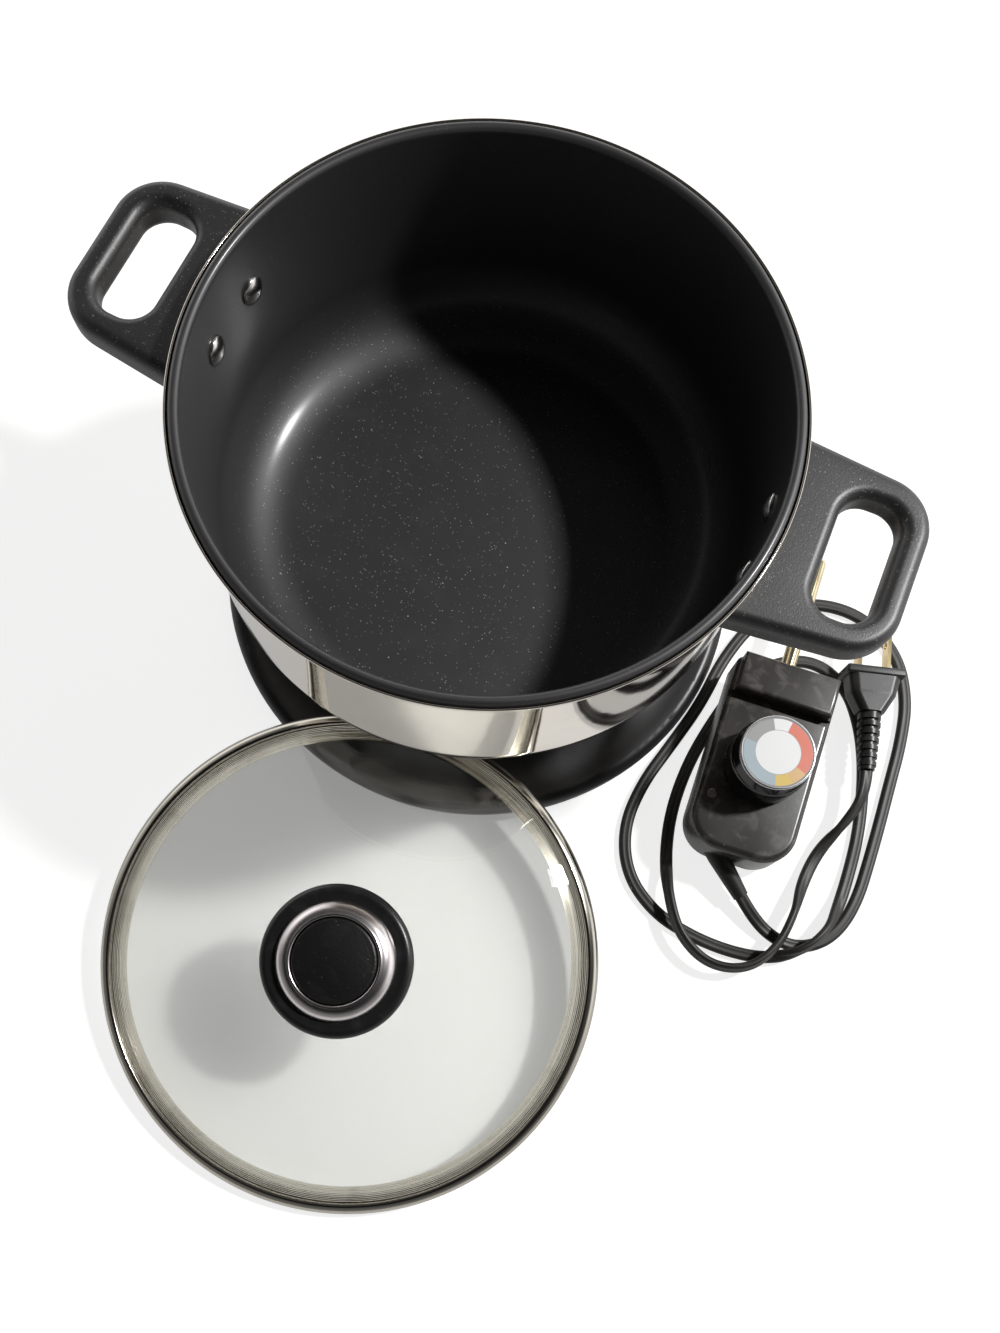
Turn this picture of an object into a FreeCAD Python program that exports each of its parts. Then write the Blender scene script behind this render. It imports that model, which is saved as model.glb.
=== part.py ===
import FreeCAD, Part
import math
import os

os.makedirs("parts", exist_ok=True)

V = FreeCAD.Vector
UP = V(0, 0, 1)

# Electric hot pot, part frame: origin on the pot's axis at table level, handles along X, front at -Y.

# Cooking vessel
RIM_R = 109.0
RIM_Z = 136.0
WALL_R = 106.4
SHELL_T = 0.8
PAN_T = 1.8
NEST_GAP = 0.1
BEAD_R = 2.0
LIP_T = 0.8
LIP_DROP = 5.2
LIP_FLARE_H = 1.6
CORNER_R = 29.0
VESSEL_BOTTOM_Z = 47.0
SEAT_GAP = 0.3

# Heater under the vessel
SPREADER_R = 66.0
SPREADER_T = 5.0
ELEMENT_R = 50.0
ELEMENT_TUBE_R = 3.3
ELEMENT_NEST = 1.3
ELEMENT_GAP_DEG = 56.0
GROOVE_GAP = 0.05
STUD_R = 4.0
NUT_R = 8.0
NUT_T = 6.0
WASHER_R = 11.0
WASHER_T = 1.5

# Black moulded base
NECK_R = SPREADER_R + 8.0
BASE_WALL = 3.0
FOOT_R = 113.5
SHOULDER_Z = 13.0
FLARE_TOP_Z = 34.0
FOOT_EDGE_R = 5.0
BASE_BOTTOM_Z = 2.5
PLATE_T = 2.0
PLATE_GAP = 0.4
GASKET_T = 1.2
HUB_R = 14.0
HUB_BORE_GAP = 0.4
RIB_T = 2.4
RIB_COUNT = 6
SCREW_CIRCLE_R = FOOT_R - 25.5
SCREW_COUNT = 4
SCREW_R = 1.6
SCREW_HEAD_R = 3.4
SCREW_HEAD_H = 1.8
SCREW_LENGTH = 9.0
BOSS_R = 4.6
FOOT_CIRCLE_R = FOOT_R - 14.5
FOOT_COUNT = 4
PAD_R = 8.0
PAD_PLUG_R = 3.0
PAD_PLUG_H = 3.0
VENT_COUNT = 8
VENT_W = 3.0
VENT_L = 8.0
VENT_FROM_R = 30.0
VENT_PITCH = 14.0
RUN_GAP = 0.2

# Power inlet, under the right handle
INLET_Z = 34.0
PIN_PITCH = 20.0
PIN_R = 2.0
PIN_TIP_X = NECK_R + 19.0
PIN_ROOT_X = NECK_R - 10.0
GUARD_W = 46.0
GUARD_H = 17.0
GUARD_T = 2.2
GUARD_TIP_X = NECK_R + 22.0
GUARD_ROOT_X = NECK_R - 5.0
GUARD_CORNER = 6.0
SLEEVE_R = 4.6
SLEEVE_BORE_R = 3.7
SLEEVE_TIP_X = NECK_R - 3.0
SLEEVE_ROOT_X = 22.0
INSULATOR_T = 4.0

# Side handles, each a little forward of the line through the pot's axis
RIGHT_HANDLE_DEG = 2.0
LEFT_HANDLE_DEG = 176.8
HANDLE_TOP_Z = 124.0
HANDLE_T = 12.0
HANDLE_REACH = 157.0
HANDLE_ROOT_W = 75.0
HANDLE_GRIP_W = 64.0
HANDLE_CORNER = 19.0
HANDLE_ROUND = 4.2
HANDLE_BAR_W = 10.0
HOLE_NEAR_X = WALL_R + 18.6
HOLE_FAR_X = HANDLE_REACH - HANDLE_BAR_W
HOLE_W = 46.0
HOLE_CORNER = 0.43 * (HOLE_FAR_X - HOLE_NEAR_X)
WEB_T = 9.0
WEB_END_GAP = 7.0
BRACKET_W = 44.0
BRACKET_H = 20.0
BRACKET_T = 1.5
TONGUE_W = 22.0
TONGUE_L = 12.0
TONGUE_T = 3.0
TONGUE_GAP = 0.2
RIVET_PITCH = 28.0
RIVET_Z = 112.0
RIVET_R = 2.6
RIVET_HEAD_R = 5.2
RIVET_HEAD_H = 2.2
RIVET_SEAT_GAP = 0.25
RIVET_RIM_T = 0.6
RIVET_TAIL_R = RIVET_HEAD_R * 0.8
RIVET_TAIL_H = 1.4
HANDLE_SCREW_R = 2.0
HANDLE_SCREW_HEAD_R = 3.6
HANDLE_SCREW_HEAD_H = 2.0

# Glass lid, lying beside the pot with its near edge leaning on the foot
LID_AWAY = FOOT_R + 72.3
LID_DEG = -83.7
LID_TILT = 5.8
LID_LOW_Z = 0.3
LID_RING_R = 105.1
LID_RING_W = 12.0
LID_RING_H = 7.0
LID_LIP_W = 4.9
LID_SKIRT_IN = 8.2
LID_SKIRT_T = 1.2
LID_SHEET_T = 1.0
GLASS_T = 4.0
GLASS_RISE = 19.0
GLASS_GAP = 0.15
KNOB_BASE_R = 30.0
KNOB_BASE_H = 17.0
KNOB_STEM_R = 15.0
KNOB_RING_OUT_R = 23.5
KNOB_RING_IN_R = 16.8
KNOB_RING_H = 5.0
KNOB_CAP_H = 7.0
KNOB_CAP_RISE = 1.2
KNOB_SCREW_R = 2.5
KNOB_WASHER_R = 11.0
KNOB_WASHER_T = 1.5

# Temperature control, lying on its lead in front of the right handle
CONTROL_X = FOOT_R + 31.0
CONTROL_Y = 5.5
CONTROL_TURN = 5.0
CONTROL_Z = 6.2
CASE_W = 46.0
CASE_L = 86.0
CASE_SPLIT = 9.0
CASE_H = 21.0
CASE_WALL = 2.0
CASE_TAIL_R = 15.0
CASE_NOSE_R = 3.0
BLOCK_W = 42.0
BLOCK_L = 17.0
BLOCK_H = 26.0
STEP_L = 3.5
STEP_DEPTH = 2.5
PROBE_R = 3.2
PROBE_L = 58.0
PROBE_Z = 12.0
SOCKET_R = 3.2
SOCKET_BORE_R = 2.15
SOCKET_L = 19.0
SOCKET_SET = 1.5
TERMINAL_BLOCK_L = 14.0
TERMINAL_BLOCK_SET = 4.0
COLLAR_R = 4.2
COLLAR_L = 2.4
DIAL_BACK = 46.0
DIAL_R = 17.0
DIAL_TOP_R = 15.6
DIAL_H = 21.0
DIAL_GAP = 0.6
DIAL_WALL = 2.2
FACE_T = 0.8
FACE_R = 14.6
SHAFT_R = 3.0
SHAFT_GAP = 0.06
BUSH_R = 5.0
LENS_SIDE = -17.2
LENS_BACK = 64.0
LENS_R = 2.2
CASE_SCREW_R = 1.4
CASE_SCREW_BOSS_R = 3.2
CASE_SCREW_GRIP = 6.0

# Mains lead and plug
CORD_D = 5.5
CORD_Z = CORD_D / 2 + 0.2
HUMP_Z = 9.0
OVER_Z = 10.4
CORD_GUARD_L = 20.0
CORD_GUARD_R = 4.6
CORD_GUARD_TIP_R = 3.3
CORD_EXIT_X = CONTROL_X + 19.5
CORD_EXIT_Y = -91.0
CORD_EXIT_Z = 7.4
CORD_EXIT_HEADING = -35.0
CORD_EXIT_PITCH = 12.0
ROUTE_CONTROL_X = 144.5
PLUG_X = CONTROL_X + 35.5
PLUG_Y = 26.0
PLUG_Z = 13.4
PLUG_TURN = 17.0
PLUG_W = 23.4
PLUG_T = 14.0
PLUG_L = 20.0
PLUG_FLANGE_L = 4.0
PLUG_FLANGE_OUT = 1.4
BLADE_PITCH = 12.7
BLADE_W = 6.3
BLADE_T = 1.5
BLADE_L = 17.0
PLUG_GUARD_L = 26.0
PLUG_GUARD_R = 4.9
PLUG_GUARD_TIP_R = 3.6
PLUG_GUARD_RIBS = 6
RIB_W = 1.9


def save(name, *shapes):
    """Write one node, made of one solid or of a group of separate solids."""
    solids = [s for shape in shapes for s in shape.Solids]
    out = solids[0] if len(solids) == 1 else Part.makeCompound(solids)
    out.exportStep("parts/" + name + ".step")
    print(name, len(solids), round(sum(s.Volume for s in solids), 1))


def cyl(r, h, base, axis=UP):
    """Cylinder from a base point along an axis."""
    return Part.makeCylinder(r, h, base, axis)


def lathe(points):
    """Solid of revolution about Z from (radius, height) points; a triple is an arc's middle point."""
    edges = []
    last = None
    mid = None
    for p in points + [points[0]]:
        v = V(p[0], 0, p[1])
        if len(p) == 3:
            mid = v
            continue
        if last is not None:
            edges.append(Part.Arc(last, mid, v).toShape() if mid else Part.LineSegment(last, v).toShape())
        last, mid = v, None
    face = Part.Face(Part.Wire(edges))
    return face.revolve(V(0, 0, 0), UP, 360)


def on_arc(cx, cz, r, deg):
    """Point of an arc in the lathe's half plane."""
    a = math.radians(deg)
    return (cx + r * math.cos(a), cz + r * math.sin(a))


def rounded_plate(w0, w1, length, corner0, corner1, z0, height):
    """Plate along +X with its two ends' widths and corner radii; the near end is at x = 0."""
    h0, h1 = w0 / 2, w1 / 2
    pts = [V(0, -h0, z0), V(length, -h1, z0), V(length, h1, z0), V(0, h0, z0)]
    solid = Part.Face(Part.makePolygon(pts + [pts[0]])).extrude(V(0, 0, height))
    for corner, near in ((corner0, True), (corner1, False)):
        if corner <= 0:
            continue
        edges = [e for e in solid.Edges if abs(e.Vertexes[0].X - e.Vertexes[-1].X) < 1e-6
                 and abs(e.Vertexes[0].Y - e.Vertexes[-1].Y) < 1e-6
                 and (e.Vertexes[0].X < length / 2) == near]
        solid = solid.makeFillet(corner, edges)
    return solid


def flat_edges(solid, z):
    """Edges that lie in the plane at height z."""
    return [e for e in solid.Edges if all(abs(v.Z - z) < 1e-6 for v in e.Vertexes)]


def box_at(x0, y0, z0, x1, y1, z1):
    """Box between two corners."""
    return Part.makeBox(x1 - x0, y1 - y0, z1 - z0, V(x0, y0, z0))


def polar(r, deg, z=0.0):
    """Point at a radius and an angle about the pot's axis."""
    a = math.radians(deg)
    return V(r * math.cos(a), r * math.sin(a), z)


def turned(shape, deg):
    """Copy of a shape turned about the pot's axis."""
    out = shape.copy()
    out.rotate(V(0, 0, 0), UP, deg)
    return out


def moved(shape, placement):
    """Copy of a shape in another place."""
    out = shape.copy()
    out.Placement = placement.multiply(out.Placement)
    return out


# Vessel: a polished steel shell with a coated pan nested in it
def vessel_wall(outer_r, corner_r, bottom_z, top_z, wall):
    """Half-plane outline of a flat-bottomed round vessel."""
    cx = outer_r - corner_r
    cz = bottom_z + corner_r
    inner = corner_r - wall
    return [(0, bottom_z), (cx, bottom_z), on_arc(cx, cz, corner_r, -45) + (1,), (outer_r, cz),
            (outer_r, top_z), (outer_r - wall, top_z), (outer_r - wall, cz),
            on_arc(cx, cz, inner, -45) + (1,), (cx, bottom_z + wall), (0, bottom_z + wall)]


def outer_shell():
    """Polished outer wall with its rolled lip under the pan's bead."""
    lip_z = RIM_Z - LIP_DROP
    body = lathe(vessel_wall(WALL_R, CORNER_R, VESSEL_BOTTOM_Z, lip_z, SHELL_T))
    lip_top = RIM_Z - BEAD_R + LIP_T
    lip = lathe([(WALL_R - SHELL_T, lip_z - LIP_T), (WALL_R, lip_z - LIP_T), (RIM_R, lip_z + LIP_FLARE_H),
                 (RIM_R, lip_top), (RIM_R - LIP_T, lip_top), (RIM_R - LIP_T, lip_z + LIP_FLARE_H + LIP_T / 2),
                 (WALL_R - SHELL_T, lip_z)])
    return body.fuse(lip).removeSplitter()


PAN_R = WALL_R - SHELL_T - NEST_GAP
PAN_BOTTOM_Z = VESSEL_BOTTOM_Z + SHELL_T + NEST_GAP
PAN_CORNER_R = CORNER_R - SHELL_T - NEST_GAP
BEAD_Z = RIM_Z - BEAD_R
BEAD_C = PAN_R - PAN_T + BEAD_R


def inner_pan():
    """Coated pan with a rolled black bead at the rim."""
    body = lathe(vessel_wall(PAN_R, PAN_CORNER_R, PAN_BOTTOM_Z, BEAD_Z, PAN_T))
    bead = Part.makeTorus(BEAD_C, BEAD_R, V(0, 0, BEAD_Z), UP)
    return body.fuse(bead).removeSplitter()


def cut_lip_seat(shell):
    """Clear the shell's lip where the pan's bead lies in it."""
    seat = Part.makeTorus(BEAD_C, BEAD_R + NEST_GAP, V(0, 0, BEAD_Z), UP)
    return shell.cut(seat)


def rivet_angles(centre):
    """Angles of a handle's two rivets about the pot's axis."""
    half = math.degrees(math.asin(RIVET_PITCH / 2 / WALL_R))
    return [centre - half, centre + half]


def rivets(centre):
    """Two domed rivets, each turned in one piece, through the vessel wall and the handle's bracket."""
    out = []
    inside = PAN_R - PAN_T - RIVET_SEAT_GAP
    length = WALL_R + BRACKET_T + 2 * NEST_GAP - inside
    tail = -length - RIVET_TAIL_H
    crown = RIVET_RIM_T + RIVET_HEAD_H
    ball = (RIVET_HEAD_R ** 2 + RIVET_HEAD_H ** 2) / (2 * RIVET_HEAD_H)
    half_way = crown - ball + math.sqrt(ball ** 2 - (RIVET_HEAD_R / 2) ** 2)
    line = [(0, tail), (RIVET_TAIL_R, tail), (RIVET_TAIL_R, -length), (RIVET_R, -length), (RIVET_R, 0),
            (RIVET_HEAD_R, 0), (RIVET_HEAD_R, RIVET_RIM_T), (RIVET_HEAD_R / 2, half_way, 1), (0, crown)]
    for deg in rivet_angles(centre):
        inwards = FreeCAD.Rotation(UP, polar(-1, deg))
        out.append(moved(lathe(line), FreeCAD.Placement(polar(inside, deg, RIVET_Z), inwards)))
    return out


def rivet_holes():
    """Running holes for all four rivets."""
    holes = []
    for centre in (RIGHT_HANDLE_DEG, LEFT_HANDLE_DEG):
        for deg in rivet_angles(centre):
            holes.append(cyl(RIVET_R + NEST_GAP, 14.0, polar(WALL_R - 7.0, deg, RIVET_Z), polar(1, deg)))
    return holes


# Heater: spreader plate, sheathed element, stud, terminals and probe sleeve
SPREADER_Z = VESSEL_BOTTOM_Z - SPREADER_T
ELEMENT_Z = SPREADER_Z - ELEMENT_TUBE_R + ELEMENT_NEST


def heat_spreader():
    """Cast aluminium plate under the vessel with a groove for the element."""
    plate = cyl(SPREADER_R, SPREADER_T, V(0, 0, SPREADER_Z))
    groove = Part.makeTorus(ELEMENT_R, ELEMENT_TUBE_R + GROOVE_GAP, V(0, 0, ELEMENT_Z), UP)
    boss = cyl(NUT_R, 3.0, V(0, 0, SPREADER_Z - 3.0))
    plate = plate.cut(groove).fuse(boss)
    return plate.cut(cyl(STUD_R + GROOVE_GAP, 7.0, V(0, 0, SPREADER_Z - 4.0))).removeSplitter()


def heating_element():
    """Sheathed ring element whose cold ends run out to the terminals."""
    half = ELEMENT_GAP_DEG / 2
    ring_circle = Part.Circle(V(0, 0, ELEMENT_Z), UP, ELEMENT_R)
    ring = ring_circle.toShape(math.radians(half), math.radians(360 - half))
    start = Part.Circle(polar(ELEMENT_R, half, ELEMENT_Z), polar(1, half + 90), ELEMENT_TUBE_R)
    return Part.Wire(ring).makePipeShell([Part.Wire(start.toShape())], True, True)


def terminal_pins():
    """Two round blades that the control's sockets slide on."""
    out = []
    for side in (-1, 1):
        y = side * PIN_PITCH / 2
        pin = cyl(PIN_R, PIN_TIP_X - PIN_ROOT_X, V(PIN_ROOT_X, y, INLET_Z), V(1, 0, 0))
        tip = [e for e in pin.Edges if all(abs(v.X - PIN_TIP_X) < 1e-6 for v in e.Vertexes)]
        out.append(pin.makeFillet(PIN_R * 0.6, tip))
    return out


def terminal_insulator():
    """Ceramic plate that carries the pins inside the neck."""
    half_w = PIN_PITCH / 2 + 5.0
    half_h = 6.5
    plate = box_at(PIN_ROOT_X, -half_w, INLET_Z - half_h, PIN_ROOT_X + INSULATOR_T, half_w, INLET_Z + half_h)
    return cut_inlet_bores(plate, PIN_ROOT_X - 4.0, 12.0)


def cut_inlet_bores(body, x, length):
    """Bores through a wall for the two pins and the probe sleeve."""
    along = V(1, 0, 0)
    for side in (-1, 1):
        body = body.cut(cyl(PIN_R + GROOVE_GAP, length, V(x, side * PIN_PITCH / 2, INLET_Z), along))
    return body.cut(cyl(SLEEVE_R + RUN_GAP, length, V(x, 0, INLET_Z), along))


def probe_sleeve():
    """Guide tube for the control's probe, carried under the spreader by a saddle."""
    tube = cyl(SLEEVE_R, SLEEVE_TIP_X - SLEEVE_ROOT_X, V(SLEEVE_ROOT_X, 0, INLET_Z), V(1, 0, 0))
    saddle_end = ELEMENT_R - ELEMENT_TUBE_R - 4
    saddle = box_at(SLEEVE_ROOT_X + 2, -SLEEVE_R, INLET_Z, saddle_end, SLEEVE_R, SPREADER_Z)
    bore = cyl(SLEEVE_BORE_R, SLEEVE_TIP_X, V(SLEEVE_ROOT_X + 3, 0, INLET_Z), V(1, 0, 0))
    return tube.fuse(saddle).cut(bore).removeSplitter()


# Base: a necked moulding that flares to a wide foot
NECK_TOP_Z = VESSEL_BOTTOM_Z - SEAT_GAP - GASKET_T
PLATE_Z = BASE_BOTTOM_Z


def base_outline(inset):
    """Outside of the base, or its inside when inset by the wall."""
    flare_mid = (NECK_R + 8.5 - inset, (FLARE_TOP_Z + SHOULDER_Z) / 2 - 3.0 - inset, 1)
    edge_r = FOOT_EDGE_R - inset * 0.5
    shoulder_r = FOOT_R - FOOT_EDGE_R - inset * 0.5
    edge_z = SHOULDER_Z - FOOT_EDGE_R - inset * 0.5
    return [(NECK_R - inset, NECK_TOP_Z - inset), (NECK_R - inset, FLARE_TOP_Z - inset), flare_mid,
            (shoulder_r, edge_z + edge_r), on_arc(shoulder_r, edge_z, edge_r, 45) + (1,),
            (shoulder_r + edge_r, edge_z)]


def base_shell():
    """Moulded base: neck, flare, rounded foot, hub, ribs, bosses and the inlet opening."""
    outer = lathe([(0, NECK_TOP_Z)] + base_outline(0) + [(FOOT_R - 1.0, BASE_BOTTOM_Z), (0, BASE_BOTTOM_Z)])
    cavity = lathe([(0, NECK_TOP_Z - BASE_WALL)] + base_outline(BASE_WALL)
                   + [(FOOT_R - BASE_WALL, BASE_BOTTOM_Z - 1.0), (0, BASE_BOTTOM_Z - 1.0)])
    shell = outer.cut(cavity)
    well = cyl(SPREADER_R + 2.5, BASE_WALL + 2.0, V(0, 0, NECK_TOP_Z - BASE_WALL - 1.0))
    shell = shell.cut(well)
    hub_top = SPREADER_Z - 3.0 - SEAT_GAP
    hub_low = hub_top - 14.0
    rib_top = ELEMENT_Z - ELEMENT_TUBE_R - 12.0
    rib_low = rib_top - 8.0
    extra = [cyl(HUB_R, hub_top - hub_low, V(0, 0, hub_low))]
    for i in range(RIB_COUNT):
        deg = 30 + i * 360 / RIB_COUNT
        rib = box_at(HUB_R - 2, -RIB_T / 2, rib_low, NECK_R + 4, RIB_T / 2, rib_top)
        rib.rotate(V(0, 0, 0), UP, deg)
        extra.append(rib)
    for i in range(SCREW_COUNT):
        centre = polar(SCREW_CIRCLE_R, 45 + i * 360 / SCREW_COUNT, PLATE_Z + PLATE_T + RUN_GAP)
        extra.append(cyl(BOSS_R, SHOULDER_Z - PLATE_Z - PLATE_T, centre))
    keep = lathe([(0, NECK_TOP_Z)] + base_outline(0) + [(FOOT_R - 1.0, BASE_BOTTOM_Z), (0, BASE_BOTTOM_Z)])
    shell = shell.fuse([piece.common(keep) for piece in extra])
    shell = shell.cut(cyl(STUD_R + HUB_BORE_GAP, 40, V(0, 0, hub_low - 2)))
    for i in range(SCREW_COUNT):
        base = polar(SCREW_CIRCLE_R, 45 + i * 360 / SCREW_COUNT, PLATE_Z)
        shell = shell.cut(cyl(SCREW_R + GROOVE_GAP, SCREW_LENGTH + 0.5, base))
    window = box_at(NECK_R - 8, -GUARD_W / 2 - RUN_GAP, INLET_Z - GUARD_H / 2 - RUN_GAP,
                    GUARD_TIP_X + 4, GUARD_W / 2 + RUN_GAP, INLET_Z + GUARD_H / 2 + RUN_GAP)
    return shell.cut(window).removeSplitter()


def inlet_guard():
    """Rounded shroud round the pins, with a flange inside the neck's opening."""
    def tube(w, h, corner, x0, x1):
        body = box_at(x0, -w / 2, INLET_Z - h / 2, x1, w / 2, INLET_Z + h / 2)
        along = [e for e in body.Edges if abs(e.Vertexes[0].X - e.Vertexes[-1].X) > 1]
        return body.makeFillet(corner, along)
    outer = tube(GUARD_W, GUARD_H, GUARD_CORNER, GUARD_ROOT_X, GUARD_TIP_X)
    bore_w, bore_h = GUARD_W - 2 * GUARD_T, GUARD_H - 2 * GUARD_T
    bore = tube(bore_w, bore_h, GUARD_CORNER - GUARD_T, GUARD_ROOT_X + GUARD_T, GUARD_TIP_X + 1)
    return cut_inlet_bores(outer.cut(bore), GUARD_ROOT_X - 5.0, 20.0)


def base_gasket():
    """Flat ring seal between the neck and the vessel."""
    near, far = SPREADER_R + 2.5, NECK_R - 0.5
    low, top = NECK_TOP_Z, VESSEL_BOTTOM_Z
    return lathe([(near, low), (far, low), (far, top), (near, top)])


def base_plate():
    """Steel plate that closes the base from below."""
    r = FOOT_R - BASE_WALL - PLATE_GAP
    plate = cyl(r, PLATE_T, V(0, 0, PLATE_Z))
    for i in range(SCREW_COUNT):
        at = polar(SCREW_CIRCLE_R, 45 + i * 360 / SCREW_COUNT, PLATE_Z - 1)
        plate = plate.cut(cyl(SCREW_R + RUN_GAP, PLATE_T + 2, at))
    for i in range(FOOT_COUNT):
        at = polar(FOOT_CIRCLE_R, i * 360 / FOOT_COUNT, PLATE_Z - 1)
        plate = plate.cut(cyl(PAD_PLUG_R, PLATE_T + 2, at))
    for i in range(3):
        near = VENT_FROM_R + VENT_PITCH * i
        vent = box_at(near, -VENT_W / 2, PLATE_Z - 1, near + VENT_L, VENT_W / 2, PLATE_Z + PLATE_T + 1)
        for k in range(VENT_COUNT):
            plate = plate.cut(turned(vent, (k + 0.5) * 360 / VENT_COUNT))
    return plate


def base_screws():
    """Self-tapping screws up through the plate into the base's bosses."""
    out = []
    for i in range(SCREW_COUNT):
        low = polar(SCREW_CIRCLE_R, 45 + i * 360 / SCREW_COUNT, PLATE_Z - SCREW_HEAD_H)
        head = cyl(SCREW_HEAD_R, SCREW_HEAD_H, low)
        head = head.makeFillet(0.8, flat_edges(head, low.z))
        shank = cyl(SCREW_R, SCREW_HEAD_H + SCREW_LENGTH, low)
        slot = box_at(-SCREW_HEAD_R, -0.4, low.z - 1, SCREW_HEAD_R, 0.4, low.z + 0.8)
        slot.translate(V(low.x, low.y, 0))
        out.append(head.fuse(shank).cut(slot).removeSplitter())
    return out


def feet():
    """Rubber pads plugged into the base plate, with their flat faces on the table."""
    out = []
    for i in range(FOOT_COUNT):
        at = polar(FOOT_CIRCLE_R, i * 360 / FOOT_COUNT, 0)
        pad = cyl(PAD_R, PLATE_Z, at)
        plug = cyl(PAD_PLUG_R - 0.02, PLATE_T + PAD_PLUG_H, at + V(0, 0, PLATE_Z))
        out.append(pad.fuse(plug).removeSplitter())
    return out


def centre_stud():
    """Stud in the spreader's boss that pulls the base up to the vessel."""
    low = SPREADER_Z - 3.0 - SEAT_GAP - 14.0 - WASHER_T - NUT_T - 2.0
    return cyl(STUD_R, SPREADER_Z - 1.0 - low + 3.0, V(0, 0, low))


def centre_nut():
    """Hexagon nut and washer on the stud, under the hub."""
    top = SPREADER_Z - 3.0 - SEAT_GAP - 14.0
    nut_top = top - WASHER_T
    nut_low = nut_top - NUT_T
    points = [polar(NUT_R, 60 * k, nut_low) for k in range(7)]
    nut = Part.Face(Part.makePolygon(points)).extrude(V(0, 0, NUT_T))
    nut = nut.common(lathe([(0, nut_low), (NUT_R * 0.9, nut_low), (NUT_R + 0.2, nut_low + 1.2),
                            (NUT_R + 0.2, nut_top), (0, nut_top)]))
    washer = cyl(WASHER_R, WASHER_T, V(0, 0, top - WASHER_T))
    bore = cyl(STUD_R + GROOVE_GAP, 20, V(0, 0, top - 15))
    return [nut.cut(bore), washer.cut(bore)]


# Side handles: a flat web from the wall and a rounded loop grip
def handle():
    """Handle on the X axis; both sides get a turned copy."""
    root_x = WALL_R - 6.0
    body = rounded_plate(HANDLE_ROOT_W, HANDLE_GRIP_W, HANDLE_REACH - root_x, 0, HANDLE_CORNER,
                         HANDLE_TOP_Z - HANDLE_T, HANDLE_T)
    body.translate(V(root_x, 0, 0))
    hole = rounded_plate(HOLE_W, HOLE_W, HOLE_FAR_X - HOLE_NEAR_X, HOLE_CORNER, HOLE_CORNER,
                         HANDLE_TOP_Z - HANDLE_T - 1, HANDLE_T + 2)
    hole.translate(V(HOLE_NEAR_X, 0, 0))
    body = body.cut(hole)
    low = HANDLE_TOP_Z - HANDLE_T
    rims = [e for z in (low, HANDLE_TOP_Z) for e in flat_edges(body, z)
            if max(v.X for v in e.Vertexes) > root_x + 1]
    body = body.makeFillet(HANDLE_ROUND, rims)
    web_end = HOLE_NEAR_X - WEB_END_GAP
    relief = box_at(root_x - 1, -HANDLE_ROOT_W, low - 1, web_end, HANDLE_ROOT_W, low + HANDLE_T - WEB_T)
    body = body.cut(relief.common(cyl(web_end, HANDLE_T, V(0, 0, low - 1))))
    seat = cyl(WALL_R + NEST_GAP, 60, V(0, 0, low - 20))
    body = body.cut(seat)
    pocket_low = RIVET_Z - BRACKET_H / 2 - 10 - NEST_GAP
    pocket = cyl(WALL_R + NEST_GAP + BRACKET_T + 1.8, BRACKET_H + 10, V(0, 0, pocket_low))
    pocket = pocket.common(box_at(0, -BRACKET_W / 2 - TONGUE_GAP, 0, HANDLE_REACH, BRACKET_W / 2 + TONGUE_GAP,
                                  RIVET_Z + BRACKET_H / 2 - 4.0 + TONGUE_GAP))
    body = body.cut(pocket)
    slot = tongue_box(TONGUE_GAP)
    body = body.cut(slot)
    screw_hole = cyl(HANDLE_SCREW_R + GROOVE_GAP, HANDLE_T, V(screw_x(), 0, low - 1))
    head_depth = HANDLE_T - WEB_T + HANDLE_SCREW_HEAD_H + 1.2
    head_room = cyl(HANDLE_SCREW_HEAD_R + RUN_GAP, head_depth, V(screw_x(), 0, low - 1))
    cap_low = HANDLE_TOP_Z - 2.6
    cap = box_at(root_x, -HANDLE_ROOT_W, cap_low, HANDLE_REACH + 1, HANDLE_ROOT_W, HANDLE_TOP_Z + 1)
    return body.cut(screw_hole.cut(cap)).cut(head_room).removeSplitter()


def screw_x():
    """Where the handle's screw crosses the bracket's tongue."""
    return WALL_R + BRACKET_T + TONGUE_L / 2 + 1.5


def tongue_z():
    """Middle height of the bracket's tongue."""
    return HANDLE_TOP_Z - WEB_T / 2 + 0.3


def tongue_box(gap):
    """Flat tongue that reaches into the handle's web."""
    return box_at(WALL_R - 4.0, -TONGUE_W / 2 - gap, tongue_z() - TONGUE_T / 2 - gap,
                  WALL_R + BRACKET_T + TONGUE_L + gap, TONGUE_W / 2 + gap, tongue_z() + TONGUE_T / 2 + gap)


def handle_bracket():
    """Steel bracket riveted to the wall, with its tongue in the handle."""
    low = RIVET_Z - BRACKET_H / 2
    top = tongue_z() + TONGUE_T / 2
    seat = cyl(WALL_R + NEST_GAP, top - low + 2, V(0, 0, low - 1))
    shell = cyl(WALL_R + NEST_GAP + BRACKET_T, top - low, V(0, 0, low)).cut(seat)
    plate_top = RIVET_Z + BRACKET_H / 2 - 4.0
    side_cut = box_at(0, -BRACKET_W / 2, low, HANDLE_REACH, BRACKET_W / 2, plate_top)
    riser = box_at(0, -TONGUE_W / 2, low, HANDLE_REACH, TONGUE_W / 2, top)
    plate = shell.common(side_cut.fuse(riser))
    tongue = tongue_box(0).cut(cyl(WALL_R + NEST_GAP, 60, V(0, 0, low - 20)))
    out = plate.fuse(tongue)
    out = out.cut(cyl(HANDLE_SCREW_R * 0.8 + GROOVE_GAP, 30, V(screw_x(), 0, low)))
    for deg in rivet_angles(0):
        out = out.cut(cyl(RIVET_R + NEST_GAP, 20, polar(WALL_R - 8, deg, RIVET_Z), polar(1, deg)))
    return out.removeSplitter()


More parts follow.
